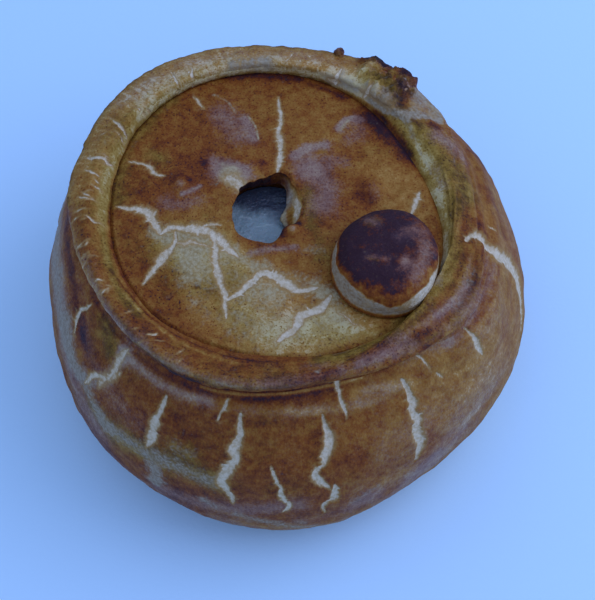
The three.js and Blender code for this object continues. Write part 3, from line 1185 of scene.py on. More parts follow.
# --- the case
WALL_TEARS = tears(
    ((1.1, 0.7, 0.6), 206, 56.3, 204, 51.9, 205, 48.4, 207, 45.8),
    ((2, 0.8, 0.5, 0.8), 225, 56.8, 224, 54.5, 224, 50.8, 223, 47.5),
    ((3, 0.7, 0.6, 0.6), 226, 51.5, 224.5, 49.5, 222, 46.2, 221.5, 43.4),
    ((2, 0.7, 0.5, 0.85), 222.5, 46.9, 220, 45.8, 218, 44, 216.5, 40),
    ((2.3, 1, 0.7), 241, 53.6, 240, 47.1, 240, 42.2, 239, 38.6),
    ((2.7, 1.1, 0.58), 262, 54.6, 262, 48.3, 261, 46.6, 261.5, 44.9, 259, 40, 258.4, 36.2, 260.6, 32.7,
     261, 28.5),
    ((0.9, 0.6, 0.3), 258, 57.2, 257, 54.4, 256, 52),
    ((1.5, 0.8, 0.75), 270, 44, 271, 40, 272, 36.7, 273, 32.7, 274, 30, 272.5, 26.6),
    ((2.2, 1.1, 0.6), 284, 53.2, 284.5, 49.5, 284, 46.6, 282, 42.2),
    ((2.3, 1, 0.5), 282, 42.8, 280, 40.4, 281.5, 37.4, 283.4, 34.8),
    ((1.7, 0.9, 0.35), 284.4, 36, 284, 31.6, 282, 28, 282, 24),
    ((1.2, 0.6, 0.35), 290, 62.2, 290, 56.6, 290, 54.6, 290, 51.2),
    ((2.9, 1.1, 0.6), 307, 55.6, 307.9, 52, 307.2, 48.2, 307, 44.8, 306.8, 41.8, 306.4, 36.3, 305, 30.6),
    ((0.6, 0.4, 0.6), 312, 63.1, 314, 57.2, 315, 54.2),
    ((0.7, 0.4), 316, 53.6, 317, 50.8),
    ((1.4, 0.7, 0.6), 327.5, 59, 328, 55.4, 328, 52.3, 328.5, 49),
    ((4.3, 1, 0.6), 350, 64.2, 352, 63.6, 353.5, 62, 352, 59.9, 352, 57.1, 353.5, 52.2, 353.6, 47,
     353, 42.5, 351, 38.5, 348, 33, 345.5, 29),
    ((0.7, 0.4), 359.5, 58.8, 358, 57),
    ((2, 1, 0.4), 24, 55, 22, 48, 23, 42.5, 21, 37),
    ((1.5, 0.8, 0.5), 46, 50.5, 45, 43, 47, 36.5),
    ((2.3, 1.1, 0.5), 63, 54.5, 62, 47, 64, 40, 63, 31, 65, 26),
    ((1.2, 0.7, 0.3), 64, 40, 68, 36.5, 70, 34),
    ((1.3, 0.7, 0.6), 88, 52, 89, 44, 87, 37.5),
    ((2.1, 1, 0.45), 109, 55, 108, 47.5, 110, 40, 109, 33),
    ((1.7, 0.9, 0.5), 131, 49, 132, 42, 130, 35, 131, 28.5),
    ((1.2, 0.7, 0.5), 150, 54, 149, 48, 151, 42.5),
    ((1.9, 0.9, 0.5), 170, 51.5, 171, 45, 169, 39, 170, 33),
)
RIM_TEARS = tears(
    ((0.75, 0.35), 146, 47.2, 148, 43.5, 150, 39.1),
    ((0.9, 0.35), 162, 46.6, 161.5, 43, 161, 39.8),
    ((0.6, 0.3), 166, 45.3, 168, 40.4),
    ((0.6, 0.3), 183, 43.4, 186, 39),
    ((0.8, 0.35), 122, 46.9, 124, 41.2),
    ((0.7, 0.35), 115.5, 45.8, 118, 41.4, 117, 39.4),
    ((0.9, 0.35), 67, 43.4, 67.5, 39.7),
    ((0.9, 0.35), 55, 42, 55.5, 38.9),
    ((0.5, 0.25), 176, 45.5, 177, 42),
    ((0.5, 0.25), 196, 46, 197, 43.6),
    ((0.6, 0.3), 231, 42.6, 231.5, 40.4),
    ((0.5, 0.25), 84, 46, 85, 43),
    ((0.5, 0.25), 134, 45.5, 136, 42.5),
)

WALL_BAKE = (
    (0, 0.42), (20, 0.5), (60, 0.58), (110, 0.62), (150, 0.55), (180, 0.46), (205, 0.5), (225, 0.6),
    (245, 0.67), (265, 0.62), (285, 0.58), (300, 0.48), (315, 0.36), (330, 0.26), (345, 0.26), (360, 0.42),
)
RIM_BAKE = (
    (0, 0.5), (30, 0.48), (50, 0.42), (70, 0.33), (100, 0.26), (140, 0.26), (180, 0.3), (205, 0.36),
    (225, 0.46), (260, 0.52), (300, 0.54), (330, 0.5), (360, 0.48),
)
CASE_STROKES = strokes(
    # the groove under the roll, the tan band below it and a pale thread between them; the dark lines in the
    # groove and under the ledge are painted shade
    (BAKE, 1.8, 0.08, 178, 6.9, 190, 6.5, 206, 6.1, 245, 5.7, 290, 5.6, 305, 5.7),
    (BAKE, 0.8, 0.16, 180, 7, 190, 6.5, 206, 6, 230, 6, 262, 6, 296, 6.1),
    (FILM, 1.2, 0.4, 180, 7, 190, 6.5, 206, 5.9, 230, 5.8),
    (BAKE, 0.6, 0.16, 203, 5.3, 222, 5.2, 248, 5.3, 290, 5.3),
    (BAKE, 1.1, -0.2, 224, 5, 241, 5, 253, 5.08, 264, 5.03, 280, 4.9, 298, 4.8),
    (FILM, 1.3, 0.6, 223, 5, 236, 5, 253, 5.05),
    (FILM, 1.4, 0.3, 262, 5, 282, 4.9, 300, 4.8),
    (BAKE, 0.3, -0.4, 250, 5.5, 276, 5.5, 297, 5.6),
    (BAKE, 0.9, -0.2, 273, 5, 284, 4.9),
    # the crest: pale at the left, sandy and grey in front, dark grain at the right front
    (PALE, 1.2, 0.12, 100, 7.4, 130, 7.5, 160, 7.6),
    (BAKE, 3, 0.14, 146, 8.3, 166, 8.3, 186, 8.3, 200, 8.2),
    (BAKE, 1.7, 0.24, 182, 6.7, 190, 6.5, 198, 6.3, 206, 6),
    (BAKE, 1, -0.12, 182, 7, 192, 7.25, 206, 7.05, 218, 7.05, 228, 7.35, 248, 7.8, 262, 7.6),
    (PALE, 0.8, 0.34, 182, 7, 192, 7.25, 206, 7.05, 218, 7.05, 228, 7.35, 248, 7.8, 262, 7.6),
    (FILM, 1.5, 0.28, 197, 7.6, 208, 7.5, 220, 7.5, 232, 7.6),
    (PALE, 1.1, 0.12, 197, 7.6, 208, 7.5, 220, 7.5),
    (BAKE, 1.2, 0.18, 226, 7.4, 236, 7.3, 248, 7.1),
    (FILM, 2.4, 0.3, 70, 7.6, 100, 7.6, 140, 7.5),
    (BAKE, 2, 0.1, 180, 8, 200, 8.2, 215, 8.1, 250, 7.9, 285, 7.8),
    (BAKE, 1, 0.12, 184, 7.5, 194, 7.6),
    (BAKE, 1.1, 0.36, 223, 6.1, 228, 6.5, 233, 6.9, 239, 7, 250, 7.1),
    (FILM, 1.3, -0.6, 226, 7, 233, 7.1, 239, 7, 250, 7.1),
    (KHAKI, 1.6, 0.35, 226, 7.5, 250, 7.6, 276, 7.9),
    (FILM, 1.5, 0.4, 215, 7.2, 226, 7.3, 236, 7.6, 250, 7.7, 276, 8.1, 290, 7.9),
    (BAKE, 1.3, 0.08, 272, 8, 284, 8, 300, 7.7, 314, 7.5),
    (FILM, 2, 0.2, 292, 7.8, 302, 7.6, 309, 7.5),
    # the wall at the right front: film that is partly a painted bluish sheen
    (FILM, 9, 0.31, 304, 4, 322, 3.9, 334, 3.6),
    (BAKE, 7, 0.12, 306, 3.2, 322, 3.2, 336, 3.4, 342, 4.4),
    (FILM, 6, 0.22, 330, 5.4, 340, 4.8),
    (FILM, 5, 0.3, 292, 3.3, 306, 3.1, 320, 3.2),
    (FILM, 1.3, 0.45, 296, 7.7, 304, 7.6, 312, 7.5),
    (BAKE, 1.2, -0.12, 303, 7.5, 312, 7.5),
    (BAKE, 0.9, 0.2, 295, 8.4, 303, 8.2, 310, 8.05),
    (FILM, 1, 0.35, 281, 9.1, 287, 8.9),
    (FILM, 1.2, 0.45, 324, 7.5, 336, 7.2),
    (PALE, 1.2, 0.35, 328, 7.3, 334, 7.2, 342, 7.2),
    (FILM, 1.6, 0.4, 311, 6.2, 322, 5.6),
    (BAKE, 1, 0.3, 60, 6.9, 90, 6.9, 120, 6.9, 150, 6.9, 176, 6.9),
    (KHAKI, 1.4, 0.5, 60, 6.9, 90, 6.9, 120, 6.9, 150, 6.9, 176, 6.9),
    # the inner slope: orange in front with a maroon fold, khaki at the left, and gold at the back, made
    # lighter there with painted light
    (BAKE, 1.7, 0.12, 205, 8.9, 226, 8.8, 255, 8.8, 284, 9),
    (BAKE, 1.2, 0.1, 225, 8.8, 234, 8.9),
    (BAKE, 1.4, 0.12, 262, 9.3, 274, 9.4),
    (BAKE, 0.4, 0.3, 203, 9.2, 212, 9.5, 224, 9.7, 242, 9.6, 262, 9.5, 272, 9.4),
    (BAKE, 0.35, -0.18, 212, 9.2, 224, 9.4, 242, 9.3, 262, 9.2),
    (BAKE, 1.8, -0.1, 274, 9.2, 282, 8.9, 290, 8.8),
    (KHAKI, 1.2, 0.55, 120, 9.5, 167, 9.5, 199, 9.3, 212, 9, 222, 9.1),
    (BAKE, 2, -0.08, 62, 9.3, 100, 9.4, 124, 9.4),
    (BAKE, 2.2, -0.15, 64, 7.8, 80, 7.8, 110, 7.8, 136, 7.8),
    # painted light: the inner slope at the back made paler, as it lies turned from the lamp
    (BAKE, 1.4, -0.12, 60, 9.4, 100, 9.4, 150, 9.3),
    (PALE, 1.4, 0.1, 60, 9.3, 100, 9.3, 150, 9.2),
    (BAKE, 1.8, -0.14, 140, 9.3, 160, 9.2, 184, 9.2),
    (KHAKI, 1.8, 0.5, 130, 9.3, 160, 9.3, 180, 9.3),
    (KHAKI, 1.4, 0.45, 62, 9.2, 100, 9.2, 140, 9.2),
    (BAKE, 0.35, 0.35, 168, 9.95, 190, 9.95, 215, 9.9),
    (PALE, 1.9, 0.8, 103, 8.1, 92, 8.3),
    (KHAKI, 2, 0.75, 286, 9.5, 300, 9.3, 317, 8.6, 335, 8.6, 356, 9.1, 380, 9, 390, 8.6),
    (BAKE, 1.8, -0.1, 290, 9.6, 312, 9, 326, 8.7, 340, 8.9, 368, 9.3),
    (PALE, 1, 0.3, 292, 9.8, 300, 9.8),
    (PALE, 1.3, 0.7, 341, 9.5, 337, 9.2, 333, 8.6),
    (BAKE, 1.6, -0.24, 341, 9.5, 337, 9.2, 333, 8.6),
    (FILM, 1.2, 0.3, 338, 8.9, 334, 8.6),
    # painted light that lifts the shade between the button and the rim
    (BAKE, 1.6, -0.25, 330, 9.8, 345, 9.8, 368, 9.8),
    (BAKE, 1.2, -0.26, 56, 9.2, 50, 8.8, 38, 8.4, 32, 8.8, 26, 9.1, 19, 9.2),
    (BAKE, 1.2, -0.12, 52, 9.6, 35, 9.5, 25, 9.7, 5, 9.8),
    (BAKE, 1.6, -0.08, 24, 9, 10, 9.2, -5, 9.5),
    (KHAKI, 2.2, 0.8, 44, 8.5, 32, 8.8, 26, 9.1, 18, 9.2, 11, 9.3, 4, 9.4),
    (PALE, 0.8, 0.6, 50, 8.9, 42, 8.5, 37, 8.5, 32, 8.9),
    (PALE, 0.5, 0.5, 30, 9, 24, 9.2, 16, 9.3),
    (BAKE, 2, 0.04, 304, 8.3, 312, 7.8, 320, 7.7),
    (FILM, 2.4, 0.1, 304, 8, 316, 7.6, 330, 7, 344, 6.4),
    (KHAKI, 1, 0.3, 310, 7.4, 322, 7.1, 336, 6.9, 346, 6.8),
    (PALE, 0.9, 0.7, 284, 8.5),
    # the right rim: olive, maroon beside the long tear, and stripes that run along it, painted highlights and
    # painted shade along its folds
    (BAKE, 3.2, 0.08, 15, 8.2, 11, 7.7, 7, 7.4),
    (KHAKI, 3.4, 0.5, 22, 8, 14, 7.7, 6, 7.3),
    (FILM, 1.6, 0.4, 17, 8.8, 10, 8.9),
    (BAKE, 2.2, -0.16, 19, 8.7, 8, 8.9),
    (PALE, 1.4, 0.4, 25, 7.5, 19, 7.4),
    (FILM, 2.2, 0.55, 28, 7.6, 20, 7),
    (BAKE, 2.6, 0.1, 360, 7.4, 356, 7.3, 348, 7.5),
    (BAKE, 1.5, -0.14, 369, 7, 364, 7.1),
    (BAKE, 1, 0.22, 357.5, 6.8, 355.5, 6.4),
    (BAKE, 1.3, -0.18, 351, 9.4, 341, 9.5),
    (BAKE, 1.5, 0.1, 344, 7.4, 343, 7.2),
    (BAKE, 0.7, 0.13, 350, 6.7, 340, 7, 330, 7.2, 318, 7.4, 306, 7.6, 294, 7.8),
    (FILM, 0.7, 0.22, 349, 6.3, 339, 6.7, 329, 6.95, 317, 7.15, 306, 7.35),
    (BAKE, 0.6, -0.08, 346, 7.3, 334, 7.38, 320, 7.58, 308, 7.9),
    (FILM, 0.7, 0.22, 346, 7.3, 334, 7.38, 320, 7.58, 308, 7.9),
    (BAKE, 0.7, 0.12, 343, 7.5, 332, 7.6, 319, 7.8, 307, 9, 292, 9.6),
    (BAKE, 0.6, 0.13, 349, 5.15, 341, 5.4, 333, 5.75, 324, 5.72),
    (BAKE, 2, 0.14, 12, 5.2, 6, 4.9, 0, 4.8),
    (BAKE, 1.1, 0.12, 314, 6.9, 326, 7.1, 340, 6.9),
    (FILM, 1.1, 0.3, 322, 5.5, 333, 6.4, 341, 6, 348, 5.6),
    (BAKE, 2.4, 0.1, 345, 5.2, 347, 4.6),
    (BAKE, 1.4, 0.1, 322, 5.1, 334, 6, 342, 5.8),
    (BAKE, 0.8, -0.16, 319, 5.7, 323, 7, 330, 7),
    # the crag's bed: brown, khaki before it, and cream where the crust tore below it
    (BAKE, 1.8, 0.34, 48, 7.5, 45, 7.8, 43, 8),
    (BAKE, 1, 0.3, 65, 6.8, 54, 6.7, 44, 6.8),
    (KHAKI, 2.2, 0.7, 60, 8.1, 57, 8, 52, 7.9),
    (BAKE, 1.8, -0.16, 66, 8.7, 60, 8.7, 55, 8.6),
    (BAKE, 1.4, 0.18, 63, 7.2, 57, 7, 51, 7),
    (PALE, 0.9, 0.85, 53, 9.2, 46, 8.9, 41, 8.5, 38, 7.9, 35, 7.5, 33, 7.3),
    (BAKE, 2.6, 0.1, 54, 7.6, 47, 7.7),
    (BAKE, 1.6, -0.24, 44, 7.1, 40, 7.2, 35, 7.2),
    (PALE, 1.8, 0.7, 43, 7, 39, 7.2, 35, 7.3),
    (FILM, 1.6, 0.4, 42, 7.3, 37, 7.5),
    (OPEN, 1, 0.35, 42, 7.6, 38, 7.5, 35, 7.4),
    (PALE, 1.5, 0.7, 43, 7.3, 41, 7.6, 38, 7.7),
    (PALE, 1.2, 0.5, 38, 7, 35, 6.9, 32, 6.9),
    (PALE, 0.7, 0.5, 67, 7.7, 66, 8.2, 68, 9.3),
    (PALE, 1.4, 0.8, 70, 9.2, 64, 9, 57, 8.7, 49, 8.7),
    (BAKE, 1.6, -0.24, 70, 9.1, 64, 8.9, 57, 8.6, 49, 8.7),
    (OPEN, 1, 0.6, 69.5, 9.2, 67, 9),
    (OPEN, 0.9, 0.45, 57, 8.7, 50, 8.7, 45, 8.5),
    (FILM, 1.4, 0.5, 52, 8.8, 44, 8.5),
    # a thin line of painted shade in the seam
    (BAKE, 0.9, 0.42, 50, 9.85, 42, 9.8, 34, 9.8, 27, 9.9),
    (BAKE, 0.7, 0.2, 66, 9.9, 54, 9.85),
    (BAKE, 0.9, 0.3, 36, 8.1, 34, 8),
    (BAKE, 0.9, 0.35, 32, 7.6, 31, 7.5),
    # the wall at the left: unbrowned side, khaki and maroon fields, pale band; the grey film along the edge
    # is partly a painted bluish sheen
    (PALE, 4.4, 0.78, 120, 4.3, 150, 4.4, 172, 4.4, 184, 4.4, 194, 4.3, 202, 4.2),
    (PALE, 2.4, 0.75, 202, 4.25, 207, 4.05, 212, 3.98, 217, 3.97, 221, 3.88, 226, 3.72),
    (BAKE, 3, 0.16, 204, 3.4, 212, 3.3, 222, 3.1, 234, 2.9),
    (FILM, 4.4, 0.7, 150, 4.4, 172, 4.4, 184, 4.4, 194, 4.3, 204, 4.1, 213, 3.7, 222, 3.4),
    (BAKE, 1.6, 0.3, 168, 5.3, 180, 5, 189, 4.95, 198, 4.75, 210, 4.5),
    (FILM, 3, 0.5, 215, 3, 230, 2.8, 249, 2.6),
    (PALE, 2.6, 0.75, 225, 3.72, 230, 3.78, 237, 3.84, 243, 3.86, 256, 3.8),
    (KHAKI, 3.6, 0.8, 222, 3.75, 230, 3.75, 237, 3.86, 243, 3.88, 256, 3.85),
    (BAKE, 3, -0.2, 224, 3.7, 236, 3.7, 256, 3.8),
    (PALE, 1.7, 0.6, 225, 5.1, 224, 4.7, 222, 4.4, 219, 4.2, 213, 4.05, 207, 4.1),
    (FILM, 1.6, 0.5, 225, 5, 222, 4.4, 214, 4),
    (PALE, 2, 1, 241.5, 3.62, 242, 3.42, 241, 3.25),
    (KHAKI, 2.8, 0.6, 214, 5.1, 220, 4.8),
    (FILM, 1.3, 0.7, 224, 5, 224, 4.8),
    (BAKE, 1.4, -0.2, 224, 5, 224, 4.8),
    (BAKE, 2.4, 0.16, 208, 4.6, 217, 4.4),
    (FILM, 2.4, 0.35, 208, 4.6, 217, 4.4),
    (FILM, 4, 0.3, 226, 4.3, 235, 4.2),
    # the wall in front and at the right; the grey film on it is partly a painted bluish sheen
    (BAKE, 2.4, -0.16, 246, 4.2, 250, 4.18),
    (PALE, 1.8, 0.45, 246, 4.2, 250, 4.18),
    (KHAKI, 2.2, 0.5, 246, 4.2, 250, 4.18),
    (FILM, 3, 0.6, 242, 3.1, 260, 3.3, 276, 3.5),
    (PALE, 1.5, 0.6, 254, 3.35, 257, 3.25),
    (PALE, 1.7, 0.7, 262, 3.15, 270, 3, 276, 2.75, 284, 2.6),
    (BAKE, 3, -0.14, 262, 2.9, 276, 2.6, 292, 2.6),
    (FILM, 3.6, 0.45, 258, 2.8, 276, 2.4, 296, 2.6, 310, 3.1),
    (PALE, 1.8, 0.6, 256, 2.6, 266, 2.3, 276, 2.15, 288, 2.2, 298, 2.4),
    (PALE, 1.6, 0.45, 262, 2, 278, 1.8, 294, 2),
    (FILM, 2, 0.4, 262, 2, 278, 1.8, 294, 2),
    (FILM, 3, 0.35, 276, 3.1, 286, 3.1, 294, 3.2),
    (BAKE, 1.9, 0.2, 288, 4.1, 292, 4.1),
    (BAKE, 1.9, 0.16, 308, 3.8, 310, 3.8),
    (BAKE, 1.6, -0.26, 294, 5.1, 302, 5, 308, 4.9),
    (FILM, 1.4, 0.35, 297, 5.1, 306, 4.9),
    (FILM, 3.6, 0.2, 306, 3.2, 318, 3.4, 329, 3.6),
    (BAKE, 1.4, -0.14, 320, 3.5, 325, 3.5),
    (BAKE, 2.4, -0.22, 297, 3.4, 303, 3.3),
    (PALE, 1.6, 0.5, 288, 3.3, 294, 3.4),
    (PALE, 1.2, 0.6, 277, 3),
)

ACROSS_AND_UP = (0.9, 1.0)  # mm for a degree round the case and for a mm of height or radius
ACROSS_AND_ON = (0.9, 9.0)  # mm for a degree round the case and for a place on the profile
TEAR_SPACING = 0.22
TEAR_SEEDS = 31  # from one tear's seed to the next
RIM_SEEDS = 5000  # from a wall tear's seed to a rim tear's
STROKE_SPACING = 0.4  # of a stroke's size, between two points of its path
LEFT_PULL = Lobe(170.0, 75.0, 0.65)
FRONT_LAYERS = Lobe(265.0, 60.0, 0.85)
FRONT_FOLD = Lobe(240.0, 50.0, 0.3)
BACK_ROLL = Lobe(125.0, 62.0)
RIGHT_JOIN = Lobe(338.0, 26.0)
FRONT_LEDGE = Lobe(262.0, 42.0)
RIGHT_FOLDS = Lobe(336.0, 40.0)
LEFT_STREAKS = Lobe(160.0, 80.0, 0.7)
INNER_SLOPE = (8.2, 8.7, 9.7, 10.0)
FOLDED_RIM = (5.4, 6.6, 8.8, 9.5)
STREAKED_RIM = (6.6, 7.3, 9.3, 9.9)
WALL_LUMPS = (Layer(0.45, 15.0, 2, 0), Layer(0.28, 4.2, 2, 3))
TORN_CRUMB = Layer(0.16, 0.9, 2, 18)
CRAG_EDGE = Layer(0.45, 4.5, 3, 20)
BAKE_NOISE = (Layer(0.1, 11.0, 3, 40), Layer(0.1, 2.5, 3, 44))
KHAKI_NOISE = Layer(0.25, 6.0, 2, 53)
PALE_NOISE = Layer(0.1, 3.0, 2, 56)
FILM_NOISE = Layer(0.15, 5.0, 2, 58)
CRAG_BAKE = Layer(0.36, 2.4, 3, 26)
CRAG_FILM = Layer(0.4, 1.8, 3, 59)
WALL_SPACING = ((0, 1.4), (1.5, 1.2), (3, 1.0))
RIM_SPACING = ((5, 1.3), (6, 1.0), (7, 0.9))
BAKE_CHANGE = ((0, -0.3), (1, -0.2), (2, -0.06), (3, 0.0), (4.6, 0.0), (5.2, 0.04), (9, 0.02), (10, 0.08))


@dataclass(frozen=True)
class Bump:
    """A local swell or dent of the case: a lobe round it, and its middle and breadth on the profile."""

    lobe: Lobe
    place: float
    breadth: float


CASE_BUMPS = (
    Bump(Lobe(170.0, 9.0, 0.85), 6.6, 1.2),
    Bump(Lobe(183.0, 8.0, 0.3), 4.6, 0.9),
    Bump(Lobe(27.0, 7.0, -0.65), 5.4, 1.3),
    Bump(Lobe(42.0, 6.0, -0.75), 6.4, 1.3),
)


@dataclass
class CaseCrust:
    """The case's crust, one surface made as two meshes: the wall, and the rim from a join at the shoulder.

    Depths and heights of the relief are in mm.
    """

    form: PieForm
    shift: Array
    columns: int = 960
    wall_rows: int = 91
    rim_rows: int = 96
    join: float = SHOULDER
    seed: int = 11
    grain_size: float = 1.1
    grain_depth: float = 0.05
    rim_grain_depth: float = 0.06
    pull_depth: float = 0.11
    layer_depth: float = 0.16
    seam_dip: float = 0.35
    back_rise: float = 1.0
    crease_fill: float = 1.1
    ledge_rise: float = 0.45
    ledge_dip: float = 0.3
    wrinkle_depth: float = 0.45
    tear_calm: float = 0.6
    tear_sink: float = 0.45
    lip_rise: float = 0.06
    crag_place: Span = (52.5, 7.5)
    crag_reach: Span = (11.0, 1.0)
    hairlines: int = 70
    hairline_angles: Span = (75.0, 245.0)
    hairline_starts: Span = (42.5, 47.2)
    hairline_lengths: Span = (1.2, 4.2)
    hairline_slants: Span = (-2.0, 3.0)
    hairline_widths: Span = (0.25, 0.5)
    hairline_end: float = 39.2
    chance_strokes: int = 44
    tears: Tears = field(default_factory=Tears)

    def __post_init__(self) -> None:
        """Lays the rows and columns, closer together where the crust is finer."""
        self.angle = np.linspace(0.0, TURN, self.columns, endpoint=False)
        fine = np.linspace(0.0, SEAM, 1001)
        steps = np.linalg.norm(np.diff(self.form.side(self.angle[::40], fine), axis=0), axis=-1)
        lengths = np.concatenate([[0.0], np.cumsum(steps.mean(axis=1))])
        low, high = fine <= self.join, fine >= self.join
        wall = spread(lengths[low], fine[low], read_off(WALL_SPACING, fine[low]), self.wall_rows)
        rim = spread(lengths[high], fine[high], read_off(RIM_SPACING, fine[high]), self.rim_rows)
        self.place = np.concatenate([wall, rim[1:]])
        self.grid = np.broadcast_arrays(self.angle[None, :], self.place[:, None])
        self.bare = self.form.side(self.angle, self.place)
        self.out = normals_of(self.bare)
        for number, tear in enumerate(WALL_TEARS):
            self._lay(tear, False, self.seed + TEAR_SEEDS * number)
        for number, tear in enumerate((*RIM_TEARS, *self._hairlines())):
            self._lay(tear, True, self.seed + RIM_SEEDS + TEAR_SEEDS * number)

    def _hairlines(self) -> list[Tear]:
        """Fine cracks across the rim, at the left and the back, as the roll was stretched there.

        Returns:
            The cracks.
        """
        rng = np.random.default_rng(self.seed)
        lines = []
        for _ in range(self.hairlines):
            angle = rng.uniform(*self.hairline_angles)
            outer = rng.uniform(*self.hairline_starts)
            inner = max(outer - rng.uniform(*self.hairline_lengths), self.hairline_end)
            end = (angle + rng.uniform(*self.hairline_slants), inner)
            lines.append(Tear(((angle, outer), end), rng.uniform(*self.hairline_widths), 0.2))
        return lines

    def _lay(self, tear: Tear, across_rim: bool, seed: int) -> None:
        """Puts a tear's path on the bare surface, with the way out found from two steps aside.

        Args:
            tear: The split.
            across_rim: True if its levels are radii across the rim.
            seed: The seed of its chance.
        """
        pairs = spline_through(tear.points, TEAR_SPACING, ACROSS_AND_UP)
        angle = np.radians(pairs[:, 0])
        place = self.form.place_of(angle, pairs[:, 1], across_rim)
        path, aside, up = (self._on(angle + da, place + dp) for da, dp in ((0, 0), (0.01, 0), (0, 0.02)))
        out = np.cross(aside - path, up - path)
        self.tears.add(tear, path, out / np.linalg.norm(out, axis=1, keepdims=True), seed)

    def _on(self, angle: Array, place: Array) -> Array:
        """Points on the bare side, one for each pair of angle and place.

        Args:
            angle: Angles in radians.
            place: Places along the side.

        Returns:
            The points, one row each.
        """
        number = np.arange(len(angle))
        places = np.broadcast_to(place[:, None], (len(place), len(angle)))
        return self.form.side(angle, places)[number, number]

    def relief(self, opening: Array, depth: Array) -> Array:
        """How far the crust stands off the bare surface, in mm.

        Slow lumps, finer ones and grain all over, the forms of the rim and the side, the crag's
        roughness, and the tears, sunk with slightly raised lips.

        Args:
            opening: How open the crust is at each point.
            depth: How deep it is torn there.

        Returns:
            Rows x columns of heights.
        """
        points, place = self.bare, self.grid[1]
        on_rim = ease(place, 6.1, EDGE)
        height = pile(points, self.seed, *WALL_LUMPS)
        grain_depth = self.grain_depth + self.rim_grain_depth * on_rim
        height += grain_depth * cloud(points, self.grain_size, self.seed + 6, 2)
        height += self._rim_relief(on_rim) + self._side_relief()
        height += self.wrinkle_depth * self._wrinkles() + self._crag_roughness()
        height *= 1.0 - self.tear_calm * opening
        sunk = ease(opening, 0.3, 0.72)
        lips = self.lip_rise * bell(opening - 0.27, 0.13) * ease(depth, 0.2, 0.6)
        return height - self.tear_sink * depth * sunk + lips + sunk * pile(points, self.seed, TORN_CRUMB)

    def _rim_relief(self, on_rim: Array) -> Array:
        """The rim's own forms.

        Radial pulls, strongest at the left; thin layers that run round the inner slope in front;
        a fold just outside the seam; a dip at the seam itself; and a fuller roll at the back.

        Args:
            on_rim: 1 on the rim, 0 on the side.

        Returns:
            Heights in mm.
        """
        angle, place = self.grid
        pulls = grain(round_and_up(angle, 45.0, 0.2 * place), 1.15, self.seed + 9)
        height = self.pull_depth * on_rim * (0.35 + LEFT_PULL.at(angle)) * pulls
        layers = grain(round_and_up(angle, 6.0, 5.5 * place), 1.0, self.seed + 12)
        height += self.layer_depth * between(place, *INNER_SLOPE) * (0.15 + FRONT_LAYERS.at(angle)) * layers
        outside = np.hypot(self.bare[..., 0], self.bare[..., 1]) - self.form.seam_at(angle)
        past_fold = outside - 1.7 - 0.35 * np.sin(3.0 * angle) - 0.25 * np.sin(7.0 * angle + 1.0)
        fold = FRONT_FOLD.at(angle) * ease(place, 8.2, 8.8)
        height += fold * (bell(past_fold - 0.35, 0.45) - bell(past_fold + 0.3, 0.35))
        filled = 0.3 * np.maximum(BACK_ROLL.at(angle), RIGHT_JOIN.at(angle))
        height -= (self.seam_dip - filled) * bell(SEAM - place, 0.28)
        inwards = np.clip((place - CREST) / (SEAM - CREST), 0.0, 1.0)
        return height + self.back_rise * BACK_ROLL.at(angle) * np.sin(math.pi * inwards)

    def _side_relief(self) -> Array:
        """The filled crease under the roll, the front's ledge at the shoulder, and the local bumps.

        Returns:
            The steps outwards, in mm.
        """
        angle, place = self.grid
        crease = bell(place - 5.9, 0.5) * (1.0 - self.form.flat_side(angle))
        height = self.crease_fill * crease * (0.9 + 0.2 * grain(self.bare, 9.0, self.seed + 15))
        ledge = FRONT_LEDGE.at(angle) * (0.8 + 0.4 * grain(self.bare, 7.0, self.seed + 16))
        step = self.ledge_rise * bell(place - 4.92, 0.16) - self.ledge_dip * bell(place - 5.25, 0.12)
        bumps = sum(bump.lobe.at(angle) * bell(place - bump.place, bump.breadth) for bump in CASE_BUMPS)
        return height + ledge * step + bumps

    def _wrinkles(self) -> Array:
        """Folds from -1 to 1 that run aslant along the rim at the right front, as drawn-out noise.

        Returns:
            Their height at each point.
        """
        angle, place = self.grid
        aslant = place + 0.02 * away(angle, 322.0)
        coarse = grain(round_and_up(angle, 4.0, 4.5 * aslant), 1.0, self.seed + 80)
        fine = grain(round_and_up(angle, 9.0, 10.0 * aslant), 1.0, self.seed + 81)
        return RIGHT_FOLDS.at(angle) * between(place, *FOLDED_RIM) * (coarse + 0.4 * fine)

    def crag_share(self) -> Array:
        """1 where the crag grew from the rim's outer half, fading to 0 round it, uneven by noise.

        Returns:
            The share at each point.
        """
        angle, place = self.grid
        along = away(angle, self.crag_place[0]) / self.crag_reach[0]
        across = (place - self.crag_place[1]) / self.crag_reach[1]
        return ease(1.0 - np.hypot(along, across) + pile(self.bare, self.seed, CRAG_EDGE), -0.12, 0.3)

    def _crag_roughness(self) -> Array:
        """The crag's own relief: crumbs up to 2.5 mm high, as noise folded at its middle."""
        folded = 1.0 - 2.0 * np.abs(cloud(self.bare, 3.0, self.seed + 21, 3))
        return self.crag_share() * (0.75 + 1.5 * folded + 0.5 * cloud(self.bare, 0.9, self.seed + 25, 2))

    def hidden_rows(self) -> tuple[Array, Array]:
        """Rows that close the two meshes where nobody looks.

        Returns:
            The base's rows from its middle to the foot, and the recess's rows from below the
            seam, over its floor and down the jelly's pocket.
        """
        form, angle = self.form, self.angle
        foot = form.side(angle, np.array([0.0]))[0]
        base = np.stack([foot * share for share in (0.3, 0.62, 0.88)])
        seam = form.seam_at(angle)
        wall = form.jelly_radius + form.gap
        pocket = form.lid_floor - form.jelly_depth - form.gap
        recess = [round_and_up(angle, share * seam, form.lid_floor) for share in (1.0, 0.7)]
        rounds = ((1.0, form.lid_floor), (1.0, pocket), (0.5, pocket))
        recess += [circle(form.hole, share * wall, angle, level) for share, level in rounds]
        return base, np.stack(recess)

